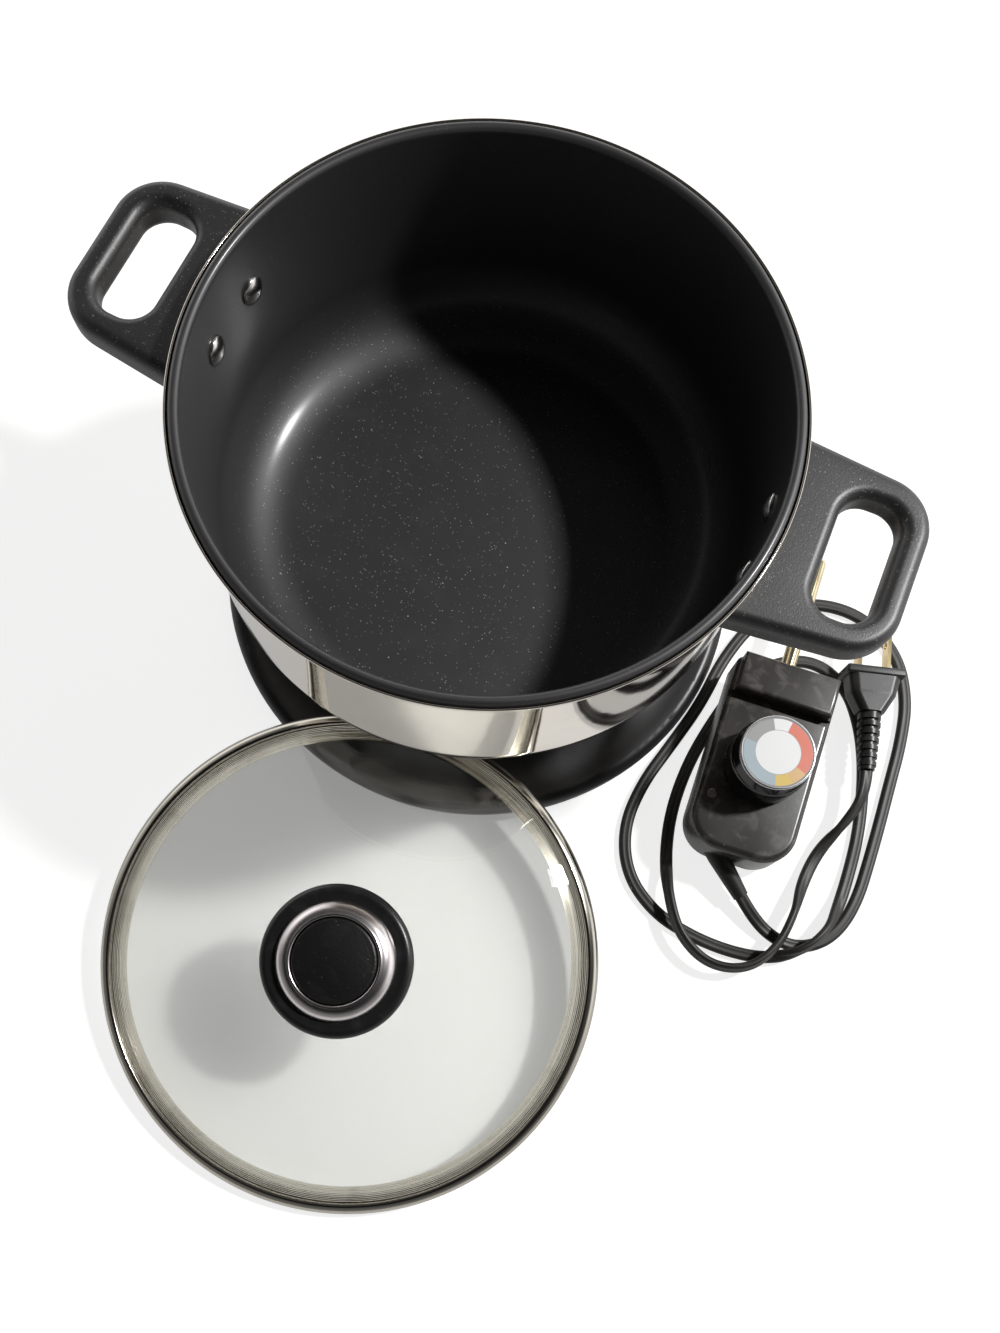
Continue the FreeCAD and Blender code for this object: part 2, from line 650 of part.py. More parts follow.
def handle_screw():
    """Screw from below through the web into the tongue."""
    head_z = HANDLE_TOP_Z - WEB_T
    head = cyl(HANDLE_SCREW_HEAD_R, HANDLE_SCREW_HEAD_H, V(screw_x(), 0, head_z + 0.2))
    shank = cyl(HANDLE_SCREW_R * 0.8, tongue_z() + TONGUE_T / 2 - head_z - 0.2, V(screw_x(), 0, head_z + 0.2))
    slot = box_at(screw_x() - 5, -0.5, head_z - 1, screw_x() + 5, 0.5, head_z + 1.0)
    return head.fuse(shank).cut(slot).removeSplitter()


# Lid: domed glass in a ridged steel ring, with a three-part knob
def lid_place():
    """Where the lid lies: tilted so that its edge near the pot is raised."""
    skirt_r = LID_RING_R - LID_SKIRT_IN
    centre = polar(LID_AWAY, LID_DEG, LID_LOW_Z + skirt_r * math.sin(math.radians(LID_TILT)))
    axis = UP.cross(polar(1, LID_DEG))
    return FreeCAD.Placement(centre, FreeCAD.Rotation(axis, LID_TILT))


GLASS_R = LID_RING_R - 2.6
GLASS_EDGE_T = GLASS_T * 0.9
GLASS_EDGE_Z = LID_RING_H - 3.2
GLASS_BALL_R = (GLASS_R ** 2 + GLASS_RISE ** 2) / (2 * GLASS_RISE)
GLASS_TOP_Z = GLASS_EDGE_Z + GLASS_T / 2 + GLASS_RISE


def dome_z(radius, ball, top):
    """Height of a dome's surface at a radius."""
    return top - ball + math.sqrt(ball ** 2 - radius ** 2)


def glass_z(radius):
    """Height of the glass's top at a radius, in the lid's own frame."""
    return dome_z(radius, GLASS_BALL_R, GLASS_TOP_Z)


def lid_glass():
    """Domed tempered glass with a hole for the knob's screw."""
    mid = GLASS_R * 0.55
    hole = KNOB_SCREW_R + GLASS_GAP
    hole_z, mid_z, edge_z = glass_z(hole), glass_z(mid), glass_z(GLASS_R)
    return lathe([(hole, hole_z), (mid, mid_z, 1), (GLASS_R, edge_z), (GLASS_R, edge_z - GLASS_EDGE_T),
                  (mid, mid_z - GLASS_T * 0.95, 1), (hole, hole_z - GLASS_T)])


def lid_ring():
    """Rolled steel ring: a narrow lip over the glass, a sloped flange under it and a short skirt."""
    r = LID_RING_R
    inner = r - LID_RING_W
    lip_in = r - LID_LIP_W
    edge = glass_z(GLASS_R)
    lip_z = glass_z(lip_in) + GLASS_GAP
    seat_r, seat_z = GLASS_R + GLASS_GAP, edge - GLASS_EDGE_T - GLASS_GAP
    under = seat_z - LID_SHEET_T
    skirt = r - LID_SKIRT_IN
    half = LID_SKIRT_T / 2
    rise = 0.32
    flange = seat_z + rise * (seat_r - inner)
    fold = seat_z + rise * (seat_r - skirt) - LID_SHEET_T
    lip = [(lip_in, lip_z), (lip_in, lip_z + 0.3), (lip_in + 0.5, lip_z + 1.1, 1),
           (lip_in + 1.6, lip_z + 1.25)]
    outer = [(r - 0.6, edge + 0.6, 1), (r, edge - 1.1), (r, under + 1.0), (r - 0.3, under + 0.3, 1),
             (r - 1.0, under), (r - 3.0, under)]
    skirt_line = [(skirt + half, fold), (skirt + half, half), (skirt, 0, 1), (skirt - half, half),
                  (skirt - half, fold)]
    flange_line = [(inner, flange - LID_SHEET_T), (inner, flange), (seat_r, seat_z),
                   (seat_r, edge + GLASS_GAP)]
    return lathe(lip + outer + skirt_line + flange_line)


KNOB_Z = GLASS_TOP_Z + 0.4
KNOB_SEAT_Z = KNOB_Z + KNOB_WASHER_T


def knob_washer():
    """Soft washer between the glass and the knob."""
    edge_z = glass_z(KNOB_WASHER_R) + 0.1
    hole = KNOB_SCREW_R + GLASS_GAP
    return lathe([(hole, GLASS_TOP_Z + 0.1), (KNOB_WASHER_R, edge_z), (KNOB_WASHER_R, KNOB_SEAT_Z),
                  (hole, KNOB_SEAT_Z)])


def knob_base():
    """Black knob body: stem and wide finger flange, dished for the chrome ring."""
    z = KNOB_SEAT_Z
    flange = z + KNOB_BASE_H
    body = lathe([(0, z), (KNOB_STEM_R - 1.5, z), (KNOB_STEM_R, z + 1.5), (KNOB_STEM_R + 1.5, z + 6.0, 1),
                  (KNOB_BASE_R - 4.5, z + 10.4), (KNOB_BASE_R - 0.8, z + 12.4, 1),
                  (KNOB_BASE_R, flange - 2.2),
                  (KNOB_BASE_R - 1.6, flange - 0.5, 1), (KNOB_BASE_R - 5.0, flange),
                  (KNOB_RING_OUT_R + NEST_GAP, flange), (KNOB_RING_OUT_R + NEST_GAP, flange - 2.0),
                  (0, flange - 2.0)])
    return body.cut(cyl(KNOB_SCREW_R, 8.0, V(0, 0, z - 1)))


def knob_ring():
    """Sloped chrome ring let into the flange."""
    z = KNOB_SEAT_Z + KNOB_BASE_H - 2.0
    top = z + 2.0 + KNOB_RING_H
    return lathe([(KNOB_RING_IN_R, z), (KNOB_RING_OUT_R, z), (KNOB_RING_OUT_R, z + 2.2),
                  (KNOB_RING_OUT_R - 2.6, z + 5.4, 1), (KNOB_RING_IN_R + 0.8, top),
                  (KNOB_RING_IN_R, top - 0.6)])


def knob_cap():
    """Slightly domed black cap inside the chrome ring."""
    z = KNOB_SEAT_Z + KNOB_BASE_H - 2.0
    r = KNOB_RING_IN_R - NEST_GAP
    edge = r - 1.6
    top = z + KNOB_CAP_H + KNOB_CAP_RISE
    ball = (edge ** 2 + KNOB_CAP_RISE ** 2) / (2 * KNOB_CAP_RISE)
    rim = z + KNOB_CAP_H
    return lathe([(0, z), (r, z), (r, rim - 1.0), (r - 0.5, rim - 0.3, 1), (edge, rim),
                  (edge / 2, dome_z(edge / 2, ball, top), 1), (0, top)])


def knob_screw():
    """Screw and its washer from under the glass into the knob."""
    under = GLASS_TOP_Z - GLASS_T - 0.4
    washer = cyl(KNOB_WASHER_R, 1.0, V(0, 0, under - 1.0))
    head = cyl(5.0, 2.4, V(0, 0, under - 3.4))
    head = head.makeFillet(1.2, flat_edges(head, under - 3.4))
    shank = cyl(KNOB_SCREW_R - GROOVE_GAP, KNOB_SEAT_Z + 6.0 - under, V(0, 0, under - 1.0))
    slot = box_at(-5.5, -0.6, under - 4.0, 5.5, 0.6, under - 2.4)
    return washer.fuse([head, shank]).cut(slot).removeSplitter()


# Control: a two-part case on its own axes, X to its right, Y towards its nose, Z up from its bottom face
def control_place():
    """Where the control lies on its lead."""
    return FreeCAD.Placement(V(CONTROL_X, CONTROL_Y, CONTROL_Z), FreeCAD.Rotation(UP, CONTROL_TURN))


def case_outline(inset, z, height):
    """Plan of the case: square nose, rounded tail."""
    body = rounded_plate(CASE_W - 2 * inset, CASE_W - 2 * inset, CASE_L - 2 * inset,
                         CASE_NOSE_R, CASE_TAIL_R - inset, z, height)
    body.rotate(V(0, 0, 0), UP, -90)
    body.translate(V(0, -inset, 0))
    return body


def control_bottom():
    """Lower half of the case, open upwards, with screw bosses."""
    body = case_outline(0, 0, CASE_SPLIT)
    body = body.makeFillet(2.0, flat_edges(body, 0.0))
    body = body.cut(case_outline(CASE_WALL, CASE_WALL, CASE_H))
    for x, y in screw_places():
        boss = cyl(CASE_SCREW_BOSS_R, CASE_SPLIT - 0.5, V(x, y, 0.3))
        body = body.fuse(boss).cut(cyl(CASE_SCREW_R + GROOVE_GAP, CASE_SPLIT + 2, V(x, y, -1)))
        body = body.cut(cyl(CASE_SCREW_R * 2 + GROOVE_GAP, 2.2, V(x, y, -1)))
    for cut in nose_cuts() + [tail_cut()]:
        body = body.cut(cut)
    return body.removeSplitter()


def screw_places():
    """Places of the case's screws."""
    side = CASE_W / 2 - CASE_WALL - CASE_SCREW_BOSS_R + 0.5
    return [(-side, -24.0), (side, -24.0), (side - 3.0, -CASE_L + 16.0)]


def nose_cuts():
    """Openings in the nose for the probe and the two sockets."""
    cuts = [cyl(PROBE_R + NEST_GAP, 8, V(0, -5, PROBE_Z), V(0, 1, 0))]
    for side in (-1, 1):
        cuts.append(cyl(SOCKET_R + NEST_GAP, 8, V(side * PIN_PITCH / 2, -5, PROBE_Z), V(0, 1, 0)))
    return cuts


def cord_start():
    """Cord guard's tip and direction in the part's frame."""
    a = math.radians(CORD_EXIT_HEADING)
    down = math.radians(CORD_EXIT_PITCH)
    heading = V(math.cos(a) * math.cos(down), math.sin(a) * math.cos(down), -math.sin(down))
    return V(CORD_EXIT_X, CORD_EXIT_Y, CORD_EXIT_Z), heading


def tail_cut():
    """Hole in the tail for the cord guard, in the control's own frame."""
    tip, heading = cord_start()
    start = tip - heading * (CORD_GUARD_L + 12)
    hole = cyl(CORD_GUARD_R + NEST_GAP, CORD_GUARD_L + 12, start, heading)
    return moved(hole, control_place().inverse())


def control_top():
    """Upper half: raised nose block, dark step, flat deck, dial bush hole and lens hole."""
    deck = case_outline(0, CASE_SPLIT, CASE_H - CASE_SPLIT)
    block = box_at(-BLOCK_W / 2, -BLOCK_L, CASE_SPLIT, BLOCK_W / 2, 0, BLOCK_H)
    block = block.makeFillet(1.6, [e for e in block.Edges if min(v.Z for v in e.Vertexes) > BLOCK_H - 1])
    deck = deck.makeFillet(3.0, [e for e in flat_edges(deck, CASE_H) if min(v.Y for v in e.Vertexes) < -1])
    body = deck.fuse(block).removeSplitter()
    step = box_at(-CASE_W, -BLOCK_L - STEP_L, CASE_H - STEP_DEPTH, CASE_W, -BLOCK_L, CASE_H + 4)
    body = body.cut(step)
    body = body.cut(case_outline(CASE_WALL, CASE_SPLIT - 1, CASE_H - CASE_SPLIT - STEP_DEPTH - CASE_WALL + 1))
    body = body.cut(cyl(BUSH_R + GROOVE_GAP, CASE_H, V(0, -DIAL_BACK, CASE_SPLIT)))
    body = body.cut(cyl(LENS_R + GROOVE_GAP, CASE_H, V(LENS_SIDE, -LENS_BACK, CASE_SPLIT)))
    for x, y in screw_places():
        post = cyl(CASE_SCREW_BOSS_R, CASE_H - CASE_SPLIT - CASE_WALL, V(x, y, CASE_SPLIT))
        body = body.fuse(post).cut(cyl(CASE_SCREW_R - 0.1, CASE_SCREW_GRIP + 2.0, V(x, y, CASE_SPLIT - 1)))
    for cut in nose_cuts() + [tail_cut()]:
        body = body.cut(cut)
    return body.removeSplitter()


def control_screws():
    """Three screws that close the case from below."""
    out = []
    for x, y in screw_places():
        head = cyl(CASE_SCREW_R * 2, 1.0, V(x, y, 0.1))
        shank = cyl(CASE_SCREW_R - 0.15, CASE_SPLIT + CASE_SCREW_GRIP, V(x, y, 0.5))
        out.append(head.fuse(shank).removeSplitter())
    return out


BLOCK_BACK_Y = -CASE_WALL - TERMINAL_BLOCK_SET - TERMINAL_BLOCK_L


def probe():
    """Closed brass probe tube with a collar inside the nose."""
    tube = cyl(PROBE_R, PROBE_L - BLOCK_BACK_Y, V(0, BLOCK_BACK_Y, PROBE_Z), V(0, 1, 0))
    tip = [e for e in tube.Edges if all(abs(v.Y - PROBE_L) < 1e-6 for v in e.Vertexes)]
    tube = tube.makeFillet(PROBE_R * 0.7, tip)
    collar = cyl(COLLAR_R, COLLAR_L, V(0, -CASE_WALL - COLLAR_L - 0.8, PROBE_Z), V(0, 1, 0))
    return tube.fuse(collar).removeSplitter()


def terminal_sockets():
    """Two spring sockets that grip the inlet's pins."""
    out = []
    for side in (-1, 1):
        start = V(side * PIN_PITCH / 2, -SOCKET_SET - SOCKET_L, PROBE_Z)
        tube = cyl(SOCKET_R, SOCKET_L, start, V(0, 1, 0))
        out.append(tube.cut(cyl(SOCKET_BORE_R, SOCKET_L - 2, start + V(0, 3, 0), V(0, 1, 0))))
    return out


def terminal_block():
    """Heat-proof block that carries the sockets and the probe."""
    half = PIN_PITCH / 2 + 6.0
    front = BLOCK_BACK_Y + TERMINAL_BLOCK_L
    block = box_at(-half, BLOCK_BACK_Y, CASE_WALL + NEST_GAP, half, front, PROBE_Z + COLLAR_R)
    for side in (-1, 1):
        block = block.cut(cyl(SOCKET_R + GROOVE_GAP, 40, V(side * PIN_PITCH / 2, -40, PROBE_Z), V(0, 1, 0)))
    return block.cut(cyl(PROBE_R + GROOVE_GAP, 40, V(0, -40, PROBE_Z), V(0, 1, 0)))


def thermostat_frame():
    """Folded steel frame under the dial that carries the switch."""
    y0 = -DIAL_BACK - 9
    y1 = -DIAL_BACK + 16
    floor = box_at(-9, y0, CASE_WALL + 0.1, 9, y1, CASE_WALL + 1.4)
    legs = [box_at(x, y0, CASE_WALL + 0.1, x + 1.3, y0 + 14, 13.0) for x in (-9, 7.7)]
    return floor.fuse(legs).removeSplitter()


def bimetal_blade():
    """Bimetal strip from the probe's end to the switch."""
    y0 = -DIAL_BACK - 4
    front = BLOCK_BACK_Y - NEST_GAP
    strip = box_at(-3, y0, PROBE_Z - 5.0, 3, front, PROBE_Z - 4.2)
    foot = box_at(-3, front - 0.8, PROBE_Z - 5.0, 3, front, PROBE_Z + 1.0)
    stand = box_at(-2.5, y0, CASE_WALL + 1.5, 2.5, y0 + 4, PROBE_Z - 5.0)
    return strip.fuse([foot, stand]).removeSplitter()


def contact_arm():
    """Spring arm with a silver contact, set by the dial's shaft."""
    y0 = -DIAL_BACK - 8.5
    post = box_at(-6.6, y0, CASE_WALL + 1.5, -3.2, y0 + 5, PROBE_Z + 0.2)
    arm = box_at(-6.6, y0, PROBE_Z - 0.6, 4.0, -DIAL_BACK + 6, PROBE_Z + 0.2)
    button = cyl(1.8, 1.2, V(0, -DIAL_BACK + 3.5, PROBE_Z - 1.8))
    return post.fuse([arm, button]).removeSplitter()


def shaft_bush():
    """Brass bush in the deck that guides the dial's shaft."""
    deck = CASE_H - STEP_DEPTH - CASE_WALL
    bush = cyl(BUSH_R, CASE_H - deck + 1.2, V(0, -DIAL_BACK, deck - 1.0))
    flange = cyl(BUSH_R + 1.6, 1.2, V(0, -DIAL_BACK, deck - 1.4))
    return bush.fuse(flange).cut(cyl(SHAFT_R + SHAFT_GAP, 20, V(0, -DIAL_BACK, deck - 4))).removeSplitter()


def pilot_lens():
    """Small clear lens let into the deck beside the dial."""
    lens = cyl(LENS_R, 5.2, V(LENS_SIDE, -LENS_BACK, CASE_H - 4.8))
    return lens.makeFillet(0.9, flat_edges(lens, CASE_H + 0.4))


def dial_knob():
    """Hollow dial with a fluted skirt, a drive boss and a shallow seat for its face."""
    z0 = CASE_H + DIAL_GAP
    top = z0 + DIAL_H
    body = lathe([(0, z0), (DIAL_R, z0), (DIAL_R, z0 + 12.5), (DIAL_R - 0.3, z0 + 13.6, 1),
                  (DIAL_R - 0.9, z0 + 14.6), (DIAL_TOP_R, top - 0.9), (DIAL_TOP_R - 0.3, top - 0.2, 1),
                  (DIAL_TOP_R - 0.9, top),
                  (FACE_R, top), (FACE_R, top - FACE_T), (0, top - FACE_T)])
    hollow = lathe([(SHAFT_R + 3.2, z0 - 1), (DIAL_R - DIAL_WALL, z0 - 1), (DIAL_R - DIAL_WALL, z0 + 12.0),
                    (DIAL_TOP_R - DIAL_WALL, top - FACE_T - 2.4), (SHAFT_R + 3.2, top - FACE_T - 2.4)])
    body = body.cut(hollow).cut(cyl(SHAFT_R + GROOVE_GAP, DIAL_H - 5, V(0, 0, z0 - 1)))
    body.translate(V(0, -DIAL_BACK, 0))
    return body


def dial_face():
    """Thin coloured disc with a pointer notch, let into the dial's top."""
    z = CASE_H + DIAL_GAP + DIAL_H - FACE_T
    return cyl(FACE_R - GROOVE_GAP, FACE_T, V(0, -DIAL_BACK, z))


def dial_shaft():
    """Shaft from the dial down to the switch's spring arm."""
    low = PROBE_Z + 0.4
    top = CASE_H + DIAL_GAP + DIAL_H - 6.2
    return cyl(SHAFT_R, top - low, V(0, -DIAL_BACK, low))


# Mains lead, its guards and the plug
def tapered_guard(tip, heading, length, root_r, tip_r):
    """Plain tapered strain relief ending at a tip, with the heading towards the cord."""
    cone = Part.makeCone(root_r, tip_r, length, tip - heading * length, heading)
    return cone


def cord_guard():
    """Strain relief where the lead leaves the control's tail."""
    tip, heading = cord_start()
    guard = tapered_guard(tip, heading, CORD_GUARD_L, CORD_GUARD_R, CORD_GUARD_TIP_R)
    root = cyl(CORD_GUARD_R, 5.0, tip - heading * (CORD_GUARD_L + 5.0), heading)
    return guard.fuse(root).removeSplitter()


def plug_axes():
    """Plug's flange centre and its direction towards the lead."""
    a = math.radians(PLUG_TURN)
    return V(PLUG_X, PLUG_Y, PLUG_Z), V(math.sin(a), -math.cos(a), 0)


def plug_place():
    """Plug's own frame: Y towards the blades."""
    return FreeCAD.Placement(V(PLUG_X, PLUG_Y, PLUG_Z), FreeCAD.Rotation(UP, PLUG_TURN))


def plug_body():
    """Moulded two-pin plug: flange at the blades and a tapering grip."""
    half_w = PLUG_W / 2 + PLUG_FLANGE_OUT
    flange = box_at(-half_w, -PLUG_FLANGE_L, -PLUG_T / 2, half_w, 0, PLUG_T / 2)
    flange = flange.makeFillet(1.2, flange.Edges)
    front = ring_wire(PLUG_W, PLUG_T - 1.0, -PLUG_FLANGE_L + 1.0)
    waist = ring_wire(PLUG_W * 0.86, PLUG_T - 2.0, -PLUG_L * 0.6)
    back = ring_wire(2.3 * PLUG_GUARD_R, 2.3 * PLUG_GUARD_R, -PLUG_L)
    grip = Part.makeLoft([front, waist, back], True, True)
    body = flange.fuse(grip).removeSplitter()
    for side in (-1, 1):
        slot = box_at(side * BLADE_PITCH / 2 - BLADE_T / 2 - GROOVE_GAP, -8, -BLADE_W / 2 - GROOVE_GAP,
                      side * BLADE_PITCH / 2 + BLADE_T / 2 + GROOVE_GAP, 1, BLADE_W / 2 + GROOVE_GAP)
        body = body.cut(slot)
    return body


def ring_wire(w, h, y):
    """Rounded rectangle across the plug."""
    r = min(w, h) * 0.3
    k = r * (1 - math.sqrt(0.5))
    edges = []
    last = V(w / 2, y, h / 2 - r)
    first = last
    for sx, sz in ((1, 1), (-1, 1), (-1, -1), (1, -1)):
        hx, hz = sx * w / 2, sz * h / 2
        on_side = V(hx, y, hz - sz * r)
        on_top = V(hx - sx * r, y, hz)
        near, far = (on_side, on_top) if sx == sz else (on_top, on_side)
        if (near - last).Length > 1e-6:
            edges.append(Part.LineSegment(last, near).toShape())
        edges.append(Part.Arc(near, V(hx - sx * k, y, hz - sz * k), far).toShape())
        last = far
    edges.append(Part.LineSegment(last, first).toShape())
    return Part.Wire(edges)


def plug_blades():
    """Two flat brass blades, each with its round hole."""
    out = []
    for side in (-1, 1):
        x = side * BLADE_PITCH / 2
        blade = box_at(x - BLADE_T / 2, -7.5, -BLADE_W / 2, x + BLADE_T / 2, BLADE_L, BLADE_W / 2)
        corners = [e for e in blade.Edges if all(v.Y > BLADE_L - 0.1 for v in e.Vertexes)
                   and abs(e.Vertexes[0].X - e.Vertexes[-1].X) > 1]
        blade = blade.makeFillet(1.4, corners)
        out.append(blade.cut(cyl(1.5, 4, V(x - 2, BLADE_L - 4.5, 0), V(1, 0, 0))))
    return out


def plug_guard():
    """Ribbed strain relief behind the plug."""
    start = V(0, -PLUG_L - 0.05, 0)
    back = V(0, -1, 0)
    guard = Part.makeCone(PLUG_GUARD_R - 1.1, PLUG_GUARD_TIP_R - 0.2, PLUG_GUARD_L, start, back)
    collar = cyl(PLUG_GUARD_R, 3.0, start, back)
    parts = [collar]
    pitch = (PLUG_GUARD_L - 4.5) / PLUG_GUARD_RIBS
    for i in range(PLUG_GUARD_RIBS):
        y = 4.5 + i * pitch
        grow = 1.2 - 0.8 * i / PLUG_GUARD_RIBS
        r = PLUG_GUARD_R - 1.1 + (PLUG_GUARD_TIP_R - PLUG_GUARD_R + 0.9) * y / PLUG_GUARD_L + grow
        parts.append(cyl(r, RIB_W, start + back * y, back))
    return guard.fuse(parts).removeSplitter()


def cord_end():
    """Point where the lead enters the plug's guard."""
    centre, back = plug_axes()
    return centre + back * (PLUG_L + 0.05 + PLUG_GUARD_L), back


def cord_points():
    """Route of the lead, from the control's guard to the plug's guard."""
    start, heading = cord_start()
    end, back = cord_end()
    low = CORD_Z
    shift = V(CONTROL_X - ROUTE_CONTROL_X, 0, 0)
    route = [
        V(184.5, -101.5, 3.5),
        V(196.0, -101.0, low),
        V(205.5, -94.5, low),
        V(211.0, -84.0, low),
        V(213.0, -69.5, low),
        V(212.0, -53.0, low),
        V(210.5, -35.0, low),
        V(208.5, -16.0, low),
        V(206.5, 5.0, low),
        V(202.0, 26.0, low),
        V(190.0, 45.0, low),
        V(168.0, 56.0, low),
        V(143.0, 51.5, low),
        V(125.0, 34.0, low),
        V(118.0, 10.0, low),
        V(116.5, -14.0, low),
        V(111.5, -37.0, low),
        V(106.0, -60.0, low),
        V(106.0, -82.0, low),
        V(115.5, -101.0, low),
        V(133.0, -112.0, low),
        V(152.0, -115.0, low),
        V(170.0, -114.5, low),
        V(185.5, -111.0, 4.0),
        V(197.0, -103.0, HUMP_Z),
        V(203.5, -91.0, HUMP_Z),
        V(206.0, -77.0, 4.6),
        V(205.5, -61.0, low),
        V(203.5, -44.0, low),
        V(199.5, -27.0, low),
        V(194.0, -10.0, low),
        V(186.0, 6.0, low),
        V(174.5, 20.0, low),
        V(157.0, 26.0, low),
        V(140.5, 18.0, low),
        V(129.5, 1.5, low),
        V(124.5, -20.0, low),
        V(121.5, -43.0, low),
        V(122.5, -66.0, low),
        V(127.5, -86.0, 4.0),
        V(134.5, -103.5, HUMP_Z),
        V(145.5, -118.0, HUMP_Z),
        V(161.5, -125.0, HUMP_Z),
        V(177.5, -120.5, OVER_Z),
        V(186.0, -106.5, OVER_Z),
        V(188.0, -90.0, HUMP_Z),
        V(187.5, -73.0, 4.6),
        V(189.0, -57.0, 4.6),
        V(194.0, -43.0, 9.0),
    ]
    return [start, start + heading * 11.0] + [p + shift for p in route] + [end + back * 12.0, end]


def bend_radii(points):
    """Arc radius at each inner point of a route."""
    radii = []
    for a, b, c in zip(points, points[1:], points[2:]):
        turn = (b - a).getAngle(c - b)
        radii.append(0.45 * min((b - a).Length, (c - b).Length) / math.tan(turn / 2))
    return radii


def power_cord():
    """Lead as straight runs joined by tangent arcs."""
    points = cord_points()
    radii = bend_radii(points)
    edges = []
    last = points[0]
    length = 0.0
    for i, r in enumerate(radii):
        a, b, c = points[i], points[i + 1], points[i + 2]
        u = (a - b).normalize()
        w = (c - b).normalize()
        half = (b - a).getAngle(c - b) / 2
        cut = r * math.tan(half)
        p, q = b + u * cut, b + w * cut
        bisector = (u + w).normalize()
        mid = b + bisector * (r / math.cos(half) - r)
        edges += [Part.LineSegment(last, p).toShape(), Part.Arc(p, mid, q).toShape()]
        length += (p - last).Length + r * 2 * half
        last = q
    edges.append(Part.LineSegment(last, points[-1]).toShape())
    length += (points[-1] - last).Length
    path = Part.Wire(edges)
    section = Part.Wire(Part.Circle(points[0], points[1] - points[0], CORD_D / 2).toShape())
    tube = path.makePipeShell([section], True, True)
    expected = math.pi * CORD_D ** 2 / 4 * length
    print("lead", round(length, 1), "volume ratio", round(tube.Volume / expected, 4), "valid", tube.isValid())
    print("lead radii", [round(r, 1) for r in radii])
    return tube


shell = cut_lip_seat(outer_shell())
pan = inner_pan()
for hole in rivet_holes():
    shell = shell.cut(hole)
    pan = pan.cut(hole)
save("outer_shell", shell)
save("inner_pan", pan)
save("right_rivets", *rivets(RIGHT_HANDLE_DEG))
save("left_rivets", *rivets(LEFT_HANDLE_DEG))
save("heat_spreader", heat_spreader())
save("heating_element", heating_element())
save("terminal_pins", *terminal_pins())
save("terminal_insulator", terminal_insulator())
save("probe_sleeve", probe_sleeve())
save("base_shell", base_shell())
save("inlet_guard", inlet_guard())
save("base_gasket", base_gasket())
save("base_plate", base_plate())
save("base_screws", *base_screws())
save("feet", *feet())
save("centre_stud", centre_stud())
save("centre_nut", *centre_nut())
handle_set = {"handle": handle(), "handle_bracket": handle_bracket(), "handle_screw": handle_screw()}
for name, shape in handle_set.items():
    save("right_" + name, turned(shape, RIGHT_HANDLE_DEG))
    save("left_" + name, turned(shape, LEFT_HANDLE_DEG))

place = lid_place()
save("lid_glass", moved(lid_glass(), place))
save("lid_ring", moved(lid_ring(), place))
for name, shape in {"knob_washer": knob_washer(), "knob_base": knob_base(), "knob_ring": knob_ring(),
                    "knob_cap": knob_cap(), "knob_screw": knob_screw()}.items():
    save(name, moved(shape, place))

place = control_place()
for name, pieces in {
    "control_bottom": [control_bottom()], "control_top": [control_top()], "control_screws": control_screws(),
    "probe": [probe()], "terminal_sockets": terminal_sockets(), "terminal_block": [terminal_block()],
    "thermostat_frame": [thermostat_frame()], "bimetal_blade": [bimetal_blade()],
    "contact_arm": [contact_arm()],
    "shaft_bush": [shaft_bush()], "pilot_lens": [pilot_lens()], "dial_knob": [dial_knob()],
    "dial_face": [dial_face()], "dial_shaft": [dial_shaft()],
}.items():
    save(name, *[moved(piece, place) for piece in pieces])
save("cord_guard", cord_guard())
save("power_cord", power_cord())
place = plug_place()
plug_set = {"plug_body": [plug_body()], "plug_blades": plug_blades(), "plug_guard": [plug_guard()]}
for name, pieces in plug_set.items():
    save(name, *[moved(piece, place) for piece in pieces])
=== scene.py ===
import math

import bmesh
import bpy
import numpy as np
from mathutils import Matrix, Vector


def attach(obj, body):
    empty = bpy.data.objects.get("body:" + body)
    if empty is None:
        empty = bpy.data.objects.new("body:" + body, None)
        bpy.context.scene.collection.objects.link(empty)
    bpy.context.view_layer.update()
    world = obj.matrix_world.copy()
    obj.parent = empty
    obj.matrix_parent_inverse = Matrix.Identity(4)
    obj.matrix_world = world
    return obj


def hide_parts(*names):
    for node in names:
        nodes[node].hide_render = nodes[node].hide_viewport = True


# Electric hot pot with a loose glass lid and a plug-in temperature control.
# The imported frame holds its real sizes, and each section below dresses one piece, in the order in which
# the object is put together.
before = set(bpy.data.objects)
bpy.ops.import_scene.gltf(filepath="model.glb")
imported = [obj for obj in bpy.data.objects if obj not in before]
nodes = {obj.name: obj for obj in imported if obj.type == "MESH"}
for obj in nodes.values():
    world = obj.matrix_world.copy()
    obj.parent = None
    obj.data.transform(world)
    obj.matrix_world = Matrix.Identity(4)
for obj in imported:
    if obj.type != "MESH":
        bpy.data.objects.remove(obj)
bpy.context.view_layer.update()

# The table and the room.
# A pale table top under everything, one small lamp from the right that throws the rim's shadow into the pan,
# and a room whose back and side walls are light, and whose front and ceiling are dim.
TABLE_SPAN = 6.0
TABLE_COLOUR = (0.43, 0.426, 0.416)
LIFT_SEEN = 0.80
LIFT_REFLECTED = 0.42
LIFT_THROUGH = 0.27
KEY_FROM = (0.53, 0.38, 0.76)
KEY_DISTANCE = 1.6
KEY_SIZE = 0.12
KEY_POWER = 19.5
ROOM_WALL = 1.0
ROOM_TOP = 0.045
WALL_ENDS = 0.28
CEILING_STARTS = 0.58
FRONT_SHARE = 0.15
FRONT_ENDS = -0.30
BACK_STARTS = 0.30
ROOM_STRENGTH = 1.5


